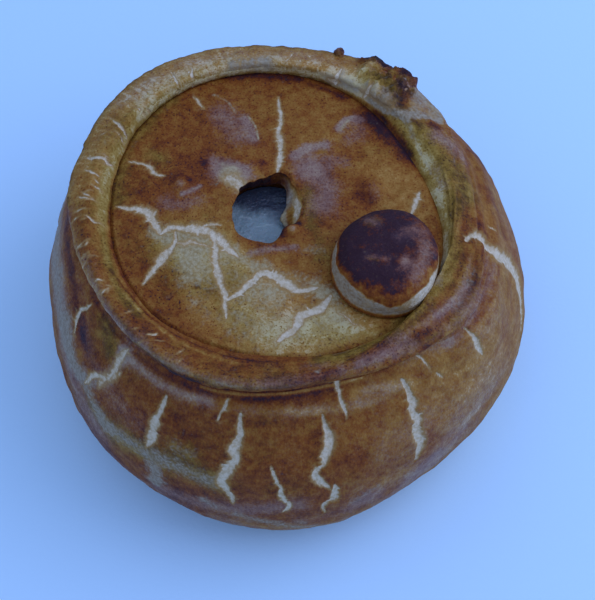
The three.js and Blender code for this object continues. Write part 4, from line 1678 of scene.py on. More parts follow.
    def browning_and_shade(self, opening: Array) -> dict[Mark, Array]:
        """Paints the case.

        The ground is the browning round the wall or round the rim, plus a change for each place
        of the profile, noise, painted shade in the valleys of the folds at the right front, fine
        streaks across the roll, and lines that run along it. On it come the named strokes, some
        of them painted shade and painted light, and chance ones where the back is turned away.

        Args:
            opening: How open the crust is at each point.

        Returns:
            The marks, rows x columns each.
        """
        (angle, place), points, seed = self.grid, self.bare, self.seed
        wall, rim = (read_off(levels, np.degrees(self.angle))[None, :] for levels in (WALL_BAKE, RIM_BAKE))
        crag = self.crag_share()
        inward = ease(place, 6.9, 7.5)
        on_rim = between(place, *STREAKED_RIM)
        streaks = ease(grain(round_and_up(angle, 75.0, 0.4 * place), 1.0, seed + 47), 0.1, 0.9)
        bake = wall + (rim - wall) * ease(place, 5.3, 6.6) + read_off(BAKE_CHANGE, place)
        # painted shade in the valleys of the folds at the right front, lighter on their crests
        bake += pile(points, seed, *BAKE_NOISE) - 0.08 * self._wrinkles()
        bake += crag * (0.32 - 0.32 * inward + pile(points, seed, CRAG_BAKE))
        bake -= 0.13 * on_rim * (0.3 + LEFT_STREAKS.at(angle)) * streaks
        bake += 0.05 * grain(round_and_up(angle, 5.0, 9.0 * place), 1.0, seed + 50)
        lumps = crag * inward * ease(cloud(points, 1.5, seed + 57, 3), 0.05, 0.6)
        ground = {
            BAKE: bake,
            KHAKI: 0.12 + 0.15 * on_rim + pile(points, seed, KHAKI_NOISE) + 0.35 * crag * inward,
            PALE: pile(points, seed, PALE_NOISE) + 0.45 * lumps,
            FILM: 0.1 + pile(points, seed, FILM_NOISE) + crag * (0.1 + pile(points, seed, CRAG_FILM)),
            SPECK: 0.25 + 0.5 * on_rim,
            OPEN: opening,
        }
        canvas = Canvas(points, seed + 60, ground)
        for stroke in (*CASE_STROKES, *self._chance_strokes()):
            pairs = spline_through(stroke.points, STROKE_SPACING * stroke.size, ACROSS_AND_ON)
            canvas.add(stroke, self._on(np.radians(pairs[:, 0]), pairs[:, 1]))
        return canvas.marks

    def _chance_strokes(self) -> list[Stroke]:
        """Strokes on the wall at the back, like those in front.

        Returns:
            The strokes.
        """
        rng = np.random.default_rng(self.seed + 70)
        kinds = ((BAKE, 0.2), (BAKE, -0.16), (FILM, 0.5), (PALE, 0.5), (KHAKI, 0.5))
        made = []
        for number in range(self.chance_strokes):
            mark, amount = kinds[number % len(kinds)]
            angle, place = rng.uniform(14.0, 172.0), rng.uniform(2.6, 4.9)
            end = (angle + rng.uniform(3.0, 12.0), place + rng.uniform(-0.25, 0.25))
            made.append(Stroke(mark, rng.uniform(1.2, 3.8), amount, ((angle, place), end)))
        return made

    def build(self, finish: CrustFinish) -> list[Piece]:
        """Makes the wall and the rim, which share their rows at the join.

        Args:
            finish: Their look.

        Returns:
            The two pieces.
        """
        opening, depth = self.tears.field_on(self.bare)
        crust = self.bare + self.out * self.relief(opening, depth)[..., None]
        crust[..., 2] = np.maximum(crust[..., 2], 0.0)
        whole = Skin(crust, self.browning_and_shade(opening), normals=normals_of(crust))
        base, recess = self.hidden_rows()
        wall = self._skin(whole, slice(0, self.wall_rows), base, recess, UP)
        rim = self._skin(whole, slice(self.wall_rows - 1, None), base[:0], recess[:1], DOWN)
        rim.looped = True
        material = finish.material()
        named = (("case_wall", wall), ("case_rim", rim))
        return [settle(skin.build(name, self.shift), material, "crust", "case") for name, skin in named]

    def _skin(self, whole: Skin, rows: slice, before: Array, after: Array, way: Array) -> Skin:
        """Some rows of the whole crust between hidden rows, which get the marks of the nearest row.

        Args:
            whole: The whole crust.
            rows: Its rows in this mesh.
            before: Hidden rows before them, which face down.
            after: Hidden rows after them.
            way: The direction out of the rows after.

        Returns:
            The skin of one mesh.
        """
        hidden = ((len(before), len(after)), (0, 0))
        marks = {mark: np.pad(values[rows], hidden, "edge") for mark, values in whole.marks.items()}
        ways = [np.broadcast_to(DOWN, before.shape), whole.normals[rows], np.broadcast_to(way, after.shape)]
        return Skin(np.concatenate([before, whole.points[rows], after]), marks, normals=np.concatenate(ways))


# --- the crag
@dataclass
class Crag:
    """Gravy and pastry that boiled over and baked into a crag on the rim.

    It runs from a first to a last angle in degrees, at a radius and a height in mm. The large
    lumps sway in and out, and fall towards the back. Crumbs lie within a band of the rim, from
    its outer side to its inner, and a loose one further back has an angle, a radius, a height,
    a size and a turn.
    """

    form: PieForm
    shift: Array
    first: float = 47.5
    last: float = 61.0
    lumps: int = 14
    crumbs: int = 80
    radius: float = 47.9
    height: float = 62.6
    lump: float = 2.2
    sway: float = 0.6
    bulge: float = 1.6
    dip: float = 0.7
    fall: float = 2.4
    crumb_rise: float = 2.6
    crumb_band: Span = (1.7, -1.9)
    crumb_sizes: Span = (0.5, 1.2)
    loose: tuple[float, ...] = (70.5, 48.7, 63.3, 1.5, 2.0)
    flatness: Triple = (1.0, 0.85, 0.7)
    rows: int = 20
    columns: int = 34
    seed: int = 71

    def places(self) -> Array:
        """The large lumps, the crumbs and the loose crumb as rows of x, y, z, radius and turn.

        Returns:
            The rows.
        """
        number = np.arange(self.lumps)
        share = number / (self.lumps - 1)
        swing = np.sin(2.4 * number)
        size = self.lump * (0.6 + 0.4 * np.sin(math.pi * (0.1 + 0.8 * share))) * (1.0 + 0.12 * swing)
        radius = self.radius + self.sway * swing + self.bulge * bell(number - 2.5, 2.0)
        height = self.height - 0.1 + 0.4 * np.cos(3.1 * number) - self.fall * ease(share, 0.5, 0.95)
        height -= self.dip * bell(share - 0.25, 0.15)
        angle = np.radians(self.first + share * (self.last - self.first))
        rng = np.random.default_rng(self.seed)
        strewn = np.radians(rng.uniform(self.first - 2.0, self.last + 1.0, self.crumbs))
        inwards = rng.uniform(0.0, 1.0, self.crumbs)
        sizes, turns = rng.uniform(*self.crumb_sizes, self.crumbs), rng.uniform(0.0, 9.0, self.crumbs)
        outer, inner = self.crumb_band
        reach = self.radius + outer + (inner - outer) * inwards
        level = self.height + 0.1 + self.crumb_rise * inwards**0.5 - self.fall * ease(strewn, 0.94, 1.06)
        turned, *loose = (np.array([number]) for number in self.loose)
        kinds = (
            (angle, radius, height, size, number),
            (strewn, reach, level, sizes, turns),
            (np.radians(turned), *loose),
        )
        rows = [np.column_stack([round_and_up(*place), size, turn]) for *place, size, turn in kinds]
        return np.vstack(rows)

    def lump_at(self, place: Array) -> Skin:
        """One lump, a ball pushed in and out by noise.

        The ball is x = r cos(v) cos(u), y = r cos(v) sin(u), z = r sin(v), flattened, turned,
        and pushed along its rays by noise of two sizes.

        Args:
            place: A row of places().

        Returns:
            The lump's skin, brown with grey crumbs.
        """
        middle, size, turn = place[:3], place[3], place[4]
        u = np.linspace(0.0, TURN, self.columns, endpoint=False)
        v = np.linspace(-0.5 * math.pi, 0.5 * math.pi, self.rows + 2)[1:-1, None]
        ball = round_and_up(u, np.cos(v), np.sin(v)) * np.array(self.flatness)
        cos, sin = math.cos(turn), math.sin(turn)
        rays = ball @ np.array([[cos, sin, 0.0], [-sin * cos, cos * cos, sin], [sin * sin, -cos * sin, cos]])
        spots = middle + rays * size
        lumpy = 1.1 + 0.4 * cloud(spots, 0.8 * size, self.seed, 2)
        creased = 0.35 * np.abs(cloud(spots, 1.1, self.seed + 4, 3))
        points = middle + rays * (size * (lumpy - creased))[..., None]
        inward = ease(-np.hypot(points[..., 0], points[..., 1]), -49.0, -46.5)
        near = ease(-np.degrees(np.arctan2(points[..., 1], points[..., 0])), -50.0, -47.0)
        marks = {
            BAKE: 0.8 - 0.24 * inward - 0.18 * near + pile(points, self.seed, Layer(0.35, 2.6, 3, 8)),
            KHAKI: 0.3 + pile(points, self.seed, Layer(0.5, 2.3, 2, 10)),
            FILM: 0.45 - 0.2 * inward + 0.15 * near + pile(points, self.seed, Layer(0.7, 1.9, 2, 9)),
            SPECK: np.full(points.shape[:-1], 0.4),
        }
        return Skin(points, marks)

    def build(self, finish: CrustFinish) -> list[Piece]:
        """Makes every lump and joins them in one mesh.

        Args:
            finish: Its look.

        Returns:
            The one piece.
        """
        joined = bmesh.new()
        for place in self.places():
            lump = self.lump_at(place).mesh("lump", self.shift)
            joined.from_mesh(lump)
            bpy.data.meshes.remove(lump)
        mesh = bpy.data.meshes.new("crag")
        joined.to_mesh(mesh)
        joined.free()
        return [settle(place_in_scene(bpy.data.objects.new("crag", mesh)), finish.material(), "crust")]


# --- the lid
LID_TEARS = tears(
    ((0.9, 0.3, 0.5, 0.75), -19.3, 34.7, -18, 31.8, -16.3, 29.7),
    ((1.1, 0.3, 0.6, 0.75), -34.5, 14.9, -32.8, 14.5, -29.2, 13, -27.5, 11.1, -24.9, 10.5),
    ((2.7, 0.5, 0.75, 0.8), -36.3, 2.3, -33.5, 1.9, -31.6, 1.5, -29.9, 0.8, -28.5, -0.3, -27.3, -1.9,
     -26.3, -3.8, -25.5, -5.4),
    ((3, 0.4, 0.55, 0.8), -25.7, -5.2, -23.9, -4.1, -22.1, -3.7, -20.2, -4, -18.1, -4.4, -15.8, -4.8,
     -14.2, -5.2, -12.8, -6.5, -11.3, -8.1, -9.9, -9.5, -8.5, -10.8, -7.4, -11.8),
    ((1.2, 0.3, 0.5, 0.65), -17, -4.4, -14.7, -3.5, -11.4, -3.3),
    ((1.5, 0.3, 0.4, 0.62), -22.4, -8, -20.1, -8, -18, -8, -16.2, -8.7, -13.6, -9.7),
    ((2.3, 0.5, 0.55, 0.8), -22.1, -4.6, -22.2, -7.1, -22.8, -8.9, -23.9, -10.8, -25, -12.9, -26.5, -14.7,
     -28.4, -17.4, -29.3, -18.7),
    ((2.2, 0.4, 0.4, 0.78), -13.2, -6.5, -12.9, -12.9, -12.3, -15.5, -10.8, -20, -10.1, -24.1, -10, -27.4),
    ((2.6, 0.5, 0.65, 0.9), -9.9, -22.8, -7, -20.7, -5.4, -18.9, -3.8, -17.6, -2, -16.4, -0.2, -15.9,
     1.4, -16.6, 3, -18.1, 4.4, -19.2, 5.9, -20.2, 7.8, -20.2, 10.8, -19.4),
    ((2.7, 0.5, 0.25, 0.97), 13.6, -21.2, 11.8, -24.4, 8.8, -25.6, 6.5, -27, 5.7, -29.8, 3.6, -31.5,
     1.6, -33),
    ((1.9, 0.4, 0.8, 0.74), 1.4, 33.7, 1.9, 28.9, 1.7, 25, 1.5, 21.1, 2.1, 17.2, 1.2, 11.6),
    ((2, 0.3, 0.5, 0.85), 34.8, 6.6, 33.3, 2.5, 32.5, -0.2),
    ((0.8, 0.2, 0.5, 0.7), 14.5, -25.3, 17.2, -27.1, 20.1, -29.1),
)
LID_STROKES = strokes(
    # the left: olive and maroon fields, the blister with its smears, orange below the long tear
    (BAKE, 8, 0.09, -23, 27, -17, 24),
    (KHAKI, 2.2, 0.55, -36, 4, -36.5, 10, -33.5, 22, -24.5, 33.5),
    (KHAKI, 2, 0.6, -28.5, 17, -26.5, 16),
    (BAKE, 2, -0.14, -29, 17, -26.5, 16),
    (BAKE, 3, 0.1, -21.5, 13.3, -14, 13),
    (BAKE, 0.9, 0.3, -16, 14),
    (BAKE, 0.8, 0.25, -12, 15),
    (BAKE, 0.9, 0.4, -2.2, 14.1),
    (BAKE, 5, 0.1, -27, 8, -19, 11, -13, 13),
    # the blister's dark ring and paler middle: partly painted shade and painted highlight
    (BAKE, 0.6, 0.2, -23.4, 8.6, -22.8, 10.2, -20.8, 10.6, -19.2, 9.4),
    (FILM, 1.2, 0.5, -21.2, 8),
    (BAKE, 1.2, -0.14, -21.2, 8),
    (FILM, 0.5, 0.9, -21, 5.4, -18.8, 6.4, -16.8, 7.7),
    (PALE, 0.35, 0.4, -20.6, 5.8, -18.8, 6.4, -16.8, 7.7),
    (FILM, 2, 0.55, -25, 3.3, -21, 2.8, -17, 3.9),
    (BAKE, 1.8, 0.12, -24, 5, -20.5, 4),
    (BAKE, 3, 0.1, -33, -4, -32, -8, -30.5, -12),
    # smears of jelly that dried in thin films; their lilac grey is partly a painted sheen
    (FILM, 3.2, 0.65, -12, 28, -9, 24.5, -8, 22),
    (PALE, 0.3, 0.55, -14.3, 34.1, -11, 32.1, -8.9, 28.9),
    (PALE, 0.3, 0.8, -5.8, 27.8, -4.1, 24.7, -3.3, 21.1),
    (FILM, 1.2, 0.6, -6.5, 27, -5, 24, -4.5, 21),
    (FILM, 1.6, 0.7, -14, 15.2, -10.4, 13.3, -7.5, 11.6),
    (PALE, 0.9, 0.4, -12, 14, -9.8, 12.4, -8.2, 11.2),
    (PALE, 2.2, 0.8, -10.6, 10.4, -9, 9.4, -7.2, 8),
    (BAKE, 2.6, -0.16, -12.6, 13.6, -10.4, 11.4, -8.4, 9.2),
    (OPEN, 1.6, 0.7, -9.8, 9.6, -8.6, 8.8, -7.6, 7.8),
    (FILM, 2.2, 0.8, -13, 11.4, -10.4, 11.6, -8.4, 11.2, -6.4, 11),
    (FILM, 0.8, 0.9, 15.8, 24.2, 17.7, 26.8, 21.3, 27.1),
    (PALE, 0.35, 0.7, 18.2, 26.6, 16.2, 23.4),
    (FILM, 2, 0.5, 19.5, 26, 21.5, 23.5, 18.5, 21),
    (FILM, 1.1, 0.9, 5.5, 16.2, 8.3, 18.2, 12.6, 19),
    (FILM, 3.4, 0.8, 10.6, 10.6, 12.6, 8, 12.8, 4, 12.2, 2.2),
    (FILM, 1.8, 0.5, 14.5, 15.6, 17.2, 14.6),
    (BAKE, 4.5, 0.1, 11, 10, 13.5, 2),
    (FILM, 2.4, 0.5, 6.7, 12.8, 9.5, 13.9),
    # the right: blister, golden fields, and the char inside the seam
    (KHAKI, 1.6, 0.6, 8.5, 6.6, 9.2, 1.7, 9, -3.2),
    # the blister's maroon side: partly painted shade of the bump
    (BAKE, 2.1, 0.28, 20.8, 8.6, 21.2, 6, 22.4, 4),
    (FILM, 1.6, 0.35, 23.8, 7.4, 24.2, 5),
    (BAKE, 6, -0.1, 26.8, 13.6, 30.2, 8, 31.2, 2.5),
    (BAKE, 7, -0.1, 6.7, 32.4, 13.9, 27),
    # a thin line of painted shade in the seam at the back
    (BAKE, 0.9, 0.34, -11.6, 39.5, 0, 39.8, 6.7, 38.6, 17.6, 33.5),
    (BAKE, 1.6, 0.15, 21, 29.8, 33, 15.7, 35.3, 12.3),
    (BAKE, 2.2, 0.33, 24.6, 27, 27.4, 24, 30, 20.8, 33, 16.5),
    (FILM, 1.5, 0.15, 28.2, 23, 31.4, 18.6),
    (BAKE, 3, 0.13, 21.5, 27.6, 23.5, 25.3, 29.4, 16.5),
    # in front: lumps before the hole, the pale and golden fields, olive before the button
    (BAKE, 1.2, 0.22, -4.2, -8, -0.7, -9, 3, -8),
    (FILM, 1, 0.7, -4.8, -10.7, 1, -9.7, 5.3, -9),
    (PALE, 0.3, 0.5, -1.5, -9.9, 1, -9.7, 3.4, -9.5),
    # the drip's dark ring and paler middle: partly painted shade and painted highlight
    (BAKE, 0.7, 0.45, 2.4, -5.6, 2.9, -3.4, 4.6, -2.4, 6.6, -2.9),
    (FILM, 0.9, 0.6, 5, -5),
    (BAKE, 1, -0.2, 5, -5),
    (PALE, 1.4, 0.6, -28, -4.8, -25.7, -6),
    (PALE, 2.6, 0.5, -19.5, -10, -18.3, -16.5),
    (PALE, 2.2, 0.12, -17.5, -24, -13.5, -28),
    (BAKE, 2.6, -0.2, -17.5, -24, -13.5, -28),
    (PALE, 4.5, 0.36, -21, -8, -12, -11),
    (PALE, 6, 0.3, -16, -15, -6, -26, 6, -29, 12, -29),
    (PALE, 1.2, 0.4, -8, -10.5, -5, -13.5, -1, -14),
    (PALE, 2.2, 0.45, -2, -15, 4, -17, 10, -18.5),
    (PALE, 2, 0.4, -25, -5.5, -17, -5.5, -10, -9.5),
    (SPECK, 8, 0.6, -20, -12, -8, -24, 8, -28),
    (KHAKI, 6, 0.7, -22, -9, -12, -12),
    (BAKE, 6, -0.14, -22, -8, -9, -12, 4, -24, 7, -27),
    (BAKE, 5, -0.14, 27, 16, 30, 6),
    (BAKE, 4.5, -0.2, -22, -10, -16, -12.8, -11, -12.8),
    (BAKE, 6, -0.18, -5.8, -22.7, -1.9, -29, -6.8, -31.7),
    (BAKE, 5, -0.2, 5.5, -30.4, 9, -31.7),
    (PALE, 4.5, 0.14, -6, -30, 5, -29, 12, -28, 17, -27),
    # painted light before the button, lifting the shade that it casts
    (BAKE, 4.5, -0.14, 5, -29, 12, -28, 17, -27, 22, -29.5),
    (PALE, 1.8, 0.8, 11, -20.5, 14, -21.5),
    (BAKE, 2.2, -0.24, 14.5, -25.5, 16.5, -27.5, 18.5, -29.5),
    (PALE, 1.4, 0.2, 14.5, -25.5, 17, -28),
    (KHAKI, 2.4, 0.4, 8.5, -29, 13.5, -29),
    (KHAKI, 4, 0.3, -9, -28, 1, -32, 12, -28),
    (BAKE, 4, -0.08, -9, -28, 1, -32),
    (PALE, 2.4, 0.5, -4, -19.5, 2.1, -21.5),
    (BAKE, 2.2, 0.14, -8.9, -14.5, -8.2, -18.5),
    (BAKE, 1.1, 0.16, -21.1, -6.2, -18.8, -6.2, -16.4, -6.5),
    (KHAKI, 6, 0.35, -17.4, -13.6, -7, -25.3, 2, -30.4, 11, -30.4),
    (BAKE, 3.4, 0.12, -24.7, -19, -22.3, -22),
    (BAKE, 0.5, 0.5, -16.8, -19.4),
    # more painted light before the button
    (BAKE, 2.4, -0.1, 17.8, -29, 22.7, -30.6, 27.2, -30),
    (KHAKI, 2.4, 0.5, 16.7, -30.4, 22.7, -31.4, 28.2, -29.4, 32, -26),
    (KHAKI, 2, 0.4, 10.8, -6, 11.7, -11),
    (BAKE, 3, -0.1, 9.5, -9, 12, -9.8, 11.7, -12.8),
    (PALE, 1.2, 0.35, 8, -9.6, 12, -9.8),
)

PLAN = (1.0, 1.0)  # mm for one of a pair's numbers that are x and y

# The steam hole's outline, outwards or, where it is less than 0, inwards over the hole.
HOLE_EDGE = (
    Lobe(-52.0, 17.0, -2.1),
    Lobe(69.0, 15.0, 2.2),
    Lobe(10.0, 30.0, -0.5),
    Lobe(205.0, 22.0, 0.7),
    Lobe(274.0, 9.0, 0.5),
)
HOLE_LEAN = (Lobe(10.0, 46.0, 5.2), Lobe(145.0, 70.0, -2.2))
HOLE_RIGHT = Lobe(6.0, 44.0)
HOLE_UPPER = Lobe(48.0, 24.0)
# where painted shade darkens the hole's wall most
HOLE_BACK_SHADE = Lobe(120.0, 60.0)

# How browned and how grey the hole's right wall is, by the share of the way down; the grey is partly painted
# bluish sky light.
HOLE_BAKE = (
    (0, 0.5), (0.1, 0.25), (0.2, 0.05), (0.46, 0.08), (0.55, 0.5), (0.68, 0.5), (0.78, 0.3), (1, 0.3),
)
HOLE_GREY = (
    (0, 0.0), (0.15, 0.35), (0.45, 0.3), (0.55, 0.05), (0.7, 0.05), (0.85, 0.9), (1, 1.0),
)
FILLED_EDGE = Lobe(80.0, 70.0, 0.5)
# where the painted shade along the lid's seam is lessened
SEAM_SHADE_LIFT = Lobe(-20.0, 36.0, 0.3)
LID_LUMPS = (Layer(0.3, 9.0, 2, 0), Layer(0.16, 2.6, 2, 3), Layer(0.06, 0.8, 2, 6))
LID_CRUMB = Layer(0.12, 0.8, 2, 9)
LID_BAKE_NOISE = (Layer(0.1, 10.0, 3, 20), Layer(0.1, 2.6, 3, 24))
LID_KHAKI_NOISE = Layer(0.22, 6.0, 2, 27)
LID_PALE_NOISE = Layer(0.1, 3.0, 2, 29)
HOLE_LUMPS = Layer(0.28, 1.6, 3, 30)
LID_FILM_NOISE = Layer(0.1, 4.0, 2, 31)


@dataclass
class LidCrust:
    """The lid: a round of pastry with a ragged steam hole, blisters, smears of jelly and tears.

    Drops and gaps are in mm. Shares of the lid's width run from the hole to the seam.
    """

    form: PieForm
    shift: Array
    columns: int = 592
    top_rows: int = 140
    wall_rows: int = 23
    crowding: float = 0.0225
    overlap: float = 0.1
    raggedness: float = 0.22
    edge_share: float = 0.965
    edge_drop: float = 0.5
    worn_share: float = 0.035
    worn_drop: float = 0.6
    tear_calm: float = 0.6
    tear_sink: float = 0.5
    tear_spacing: float = 0.2
    lip_rise: float = 0.048
    undercut: float = 0.3
    side_rise: float = 2.0
    seed: int = 131
    tears: Tears = field(default_factory=Tears)

    def __post_init__(self) -> None:
        """Lays the grid from the hole's outline to the seam, rows closer together near both."""
        form, seed = self.form, self.seed
        self.angle = np.linspace(0.0, TURN, self.columns, endpoint=False)
        self.floor = form.lid_floor + form.gap
        ragged = (1.0 + np.cos(self.angle - 2.0)) * wander(self.angle * form.hole_radius, 1.3, seed)
        self.hole = form.hole_radius + Course.HOLE.swing(self.angle) + self.raggedness * ragged
        self.hole += lobes_at(self.angle, HOLE_EDGE)
        share = np.linspace(0.0, 1.0, self.top_rows)[:, None]
        self.share = share - self.crowding * np.sin(2.0 * TURN * share)
        inner = circle(form.hole, self.hole, self.angle, 0.0)
        outer = round_and_up(self.angle, form.seam_at(self.angle) + self.overlap, 0.0)
        self.plan = inner + (outer - inner) * self.share[..., None]
        self.plan[..., 2] = form.lid_top(self.plan[..., 0], self.plan[..., 1])
        for number, tear in enumerate(LID_TEARS):
            path = self._path(tear.points, self.tear_spacing)
            self.tears.add(tear, path, np.broadcast_to(UP, path.shape), seed + TEAR_SEEDS * number)

    def _path(self, points: Points, spacing: float) -> Array:
        """A smooth path on the lid's form through points given as x and y."""
        pairs = spline_through(points, spacing, PLAN)
        return np.column_stack([pairs, self.form.lid_top(pairs[:, 0], pairs[:, 1])])

    def heights(self, opening: Array, depth: Array) -> Array:
        """How far the baked top stands off the lid's form.

        Slow waves, dimples, a fine grain, and the tears with their lips; the edge rounds down
        into the seam and the hole's edge is worn.

        Args:
            opening: How open the crust is at each point.
            depth: How deep it is torn there.

        Returns:
            Rows x columns of heights in mm.
        """
        flat = self.plan * FLAT
        edge = ease(self.share, self.edge_share, 1.0) * (1.0 - FILLED_EDGE.at(self.angle))
        worn = 1.0 - ease(self.share, 0.0, self.worn_share)
        height = pile(flat, self.seed, *LID_LUMPS) * (1.0 - self.tear_calm * opening) * (1.0 - edge)
        height -= self.edge_drop * edge + self.worn_drop * worn**1.5
        sunk = ease(opening, 0.3, 0.72)
        lips = self.lip_rise * bell(opening - 0.27, 0.13) * ease(depth, 0.2, 0.5)
        return height - self.tear_sink * depth * sunk + lips + sunk * pile(flat, self.seed, LID_CRUMB)

    def browning_and_shade(self, opening: Array) -> dict[Mark, Array]:
        """Paints the lid's top: an orange brown ground with noise and painted shade along the seam, less at
        the right, then the named strokes.

        Args:
            opening: How open the crust is at each point.

        Returns:
            The marks, rows x columns each.
        """
        points, seed = self.plan, self.seed
        # painted shade along the seam, lessened at the right
        seam = (0.2 - SEAM_SHADE_LIFT.at(self.angle)) * ease(self.share, self.edge_share, 1.0)
        ground = {
            BAKE: 0.53 + pile(points, seed, *LID_BAKE_NOISE) + seam,
            KHAKI: 0.08 + pile(points, seed, LID_KHAKI_NOISE),
            PALE: pile(points, seed, LID_PALE_NOISE),
            FILM: pile(points, seed, LID_FILM_NOISE),
            SPECK: 0.7,
            OPEN: opening,
        }
        canvas = Canvas(points, seed + 60, ground)
        for stroke in LID_STROKES:
            canvas.add(stroke, self._path(stroke.points, STROKE_SPACING * stroke.size))
        return canvas.marks

    def wall_colour_and_shade(self, down: Array) -> dict[Mark, Array]:
        """Paints the hole's wall: cream, a brown line and a grey film at the right and the back right, the
        grey partly painted bluish sky light; painted shade makes it dark elsewhere, darkest at the back.

        Args:
            down: How far down each row is, from 0 to 1.

        Returns:
            The marks, rows x columns each.
        """
        right, upper, back = (lobe.at(self.angle)[None, :] for lobe in (HOLE_RIGHT, HOLE_UPPER, HOLE_BACK_SHADE))
        lit = read_off(HOLE_BAKE, down)
        # grey film, partly painted bluish sky light
        grey = np.maximum(read_off(HOLE_GREY, down) * (1.0 - back), 0.9 * upper * ease(down, 0.15, 0.4))
        return {
            # a dark ground, darker at the back: painted shade
            BAKE: 0.75 + 0.25 * back + (lit - 0.75) * right - 0.35 * upper * ease(down, 0.1, 0.3),
            KHAKI: 0.4 - 0.4 * grey,
            PALE: np.maximum(grey * right, 0.8 * right * (lit < 0.15)),
            FILM: grey,
            SPECK: np.full_like(grey, 0.2),
            OPEN: 0.7 * right * between(down, 0.06, 0.16, 0.44, 0.52),
        }

    def hole_wall(self) -> tuple[Array, Array]:
        """The hole's wall, whose right side leans in towards the jelly, and how far down each row is.

        Returns:
            Points, rows x columns x 3, from the top down, and the rows' depth as shares.
        """
        down = np.linspace(0.0, 1.0, self.wall_rows + 1)[1:, None]
        radius = self.hole - (self.undercut + lobes_at(self.angle, HOLE_LEAN)) * down**1.3
        top = self.plan[0, :, 2] - self.worn_drop
        points = circle(self.form.hole, radius, self.angle, top + (self.floor - top) * down)
        rough = pile(points, self.seed, HOLE_LUMPS) * np.sin(math.pi * np.minimum(1.0, down + 0.15))
        return points + round_and_up(self.angle, 1.0, 0.0) * rough[..., None], down

    def build(self, finish: CrustFinish) -> list[Piece]:
        """Makes the lid as one closed ring: underside, edge, top from the seam in, and the hole's wall.

        Args:
            finish: Its look.

        Returns:
            The one piece.
        """
        opening, depth = self.tears.field_on(self.plan)
        top = self.plan + UP * self.heights(opening, depth)[..., None]
        wall, down = self.hole_wall()
        under_outer = round_and_up(self.angle, self.form.seam_at(self.angle) - self.form.gap, self.floor)
        under = wall[-1] + (under_outer - wall[-1]) * np.array([0.35, 0.7, 1.0])[:, None, None]
        under[..., 2] = self.floor
        side = top[-1:] * FLAT + UP * (self.floor + self.side_rise)
        inner = self.wall_colour_and_shade(down)
        hidden = ((len(under) + len(side), 0), (0, 0))
        marks = {}
        for mark, values in self.browning_and_shade(opening).items():
            marks[mark] = np.concatenate([np.pad(values[::-1], hidden, "edge"), inner[mark]])
        skin = Skin(np.concatenate([under, side, top[::-1], wall]), marks, looped=True)
        return [settle(skin.build("lid_crust", self.shift), finish.material(), "lid_crust", "lid")]


# --- the button
BUTTON_EDGE = (
    (0, 0.48), (60, 0.4), (140, 0.4), (155, 0.48), (175, 0.52), (186, 0.44), (198, 0.54), (212, 0.62),
    (232, 0.62), (250, 0.58), (262, 0.52), (272, 0.46), (283, 0.48), (296, 0.6), (325, 0.67), (345, 0.58),
    (360, 0.48),
)
BUTTON_STROKES = strokes(
    (FILM, 1.4, 0.5, 21.5, -6, 23.4, -7.3),
    (KHAKI, 1.5, 0.9, 21.8, -6.6, 23.4, -7.6),
    (BAKE, 1.5, -0.32, 21.8, -6.6, 23.4, -7.6),
    (FILM, 1, 0.5, 21.5, -16.2, 24, -17, 26.3, -17.3),
    (BAKE, 1.5, -0.34, 29.6, -18),
    (FILM, 1.2, 0.6, 29.6, -18),
    (KHAKI, 0.8, 0.7, 22, -17, 23.5, -17.6),
    (BAKE, 0.8, -0.2, 22, -17, 23.5, -17.6, 25.4, -17.5),
    (FILM, 1.4, 0.6, 30.5, -11, 29, -12),
    (BAKE, 2.8, -0.4, 34.4, -8, 35.4, -14, 33.6, -20),
    (FILM, 2.2, 0.5, 33.4, -10, 34.6, -16, 32, -21),
    (PALE, 1.6, 0.3, 35, -13, 34.5, -17),
    (BAKE, 1.3, -0.22, 24, -24.6, 27, -25.4, 30, -24.4),
)

# The button's profile as shares of its radius and of its height, from the foot to the top's middle.
BUTTON_PROFILE = (
    (0.5, 0.0), (0.98, 0.0), (1.03, 0.02), (1.035, 0.08), (1.01, 0.17), (1.0, 0.3), (0.985, 0.48),
    (0.93, 0.68), (0.8, 0.85), (0.56, 0.96), (0.28, 0.99), (0.02, 1.0),
)
BUTTON_LUMPS = (Layer(0.22, 5.0, 2, 0), Layer(0.1, 1.6, 2, 3), Layer(0.035, 0.7, 2, 6))
BUTTON_UNEVEN = Layer(0.14, 2.4, 3, 9)
BUTTON_CHAR = Layer(1.0, 1.6, 3, 12)
BUTTON_FILM = Layer(0.25, 2.2, 2, 15)
TOASTED_FRONT = Lobe(277.0, 28.0, 0.18)
TORN_RIGHT = Lobe(318.0, 34.0)


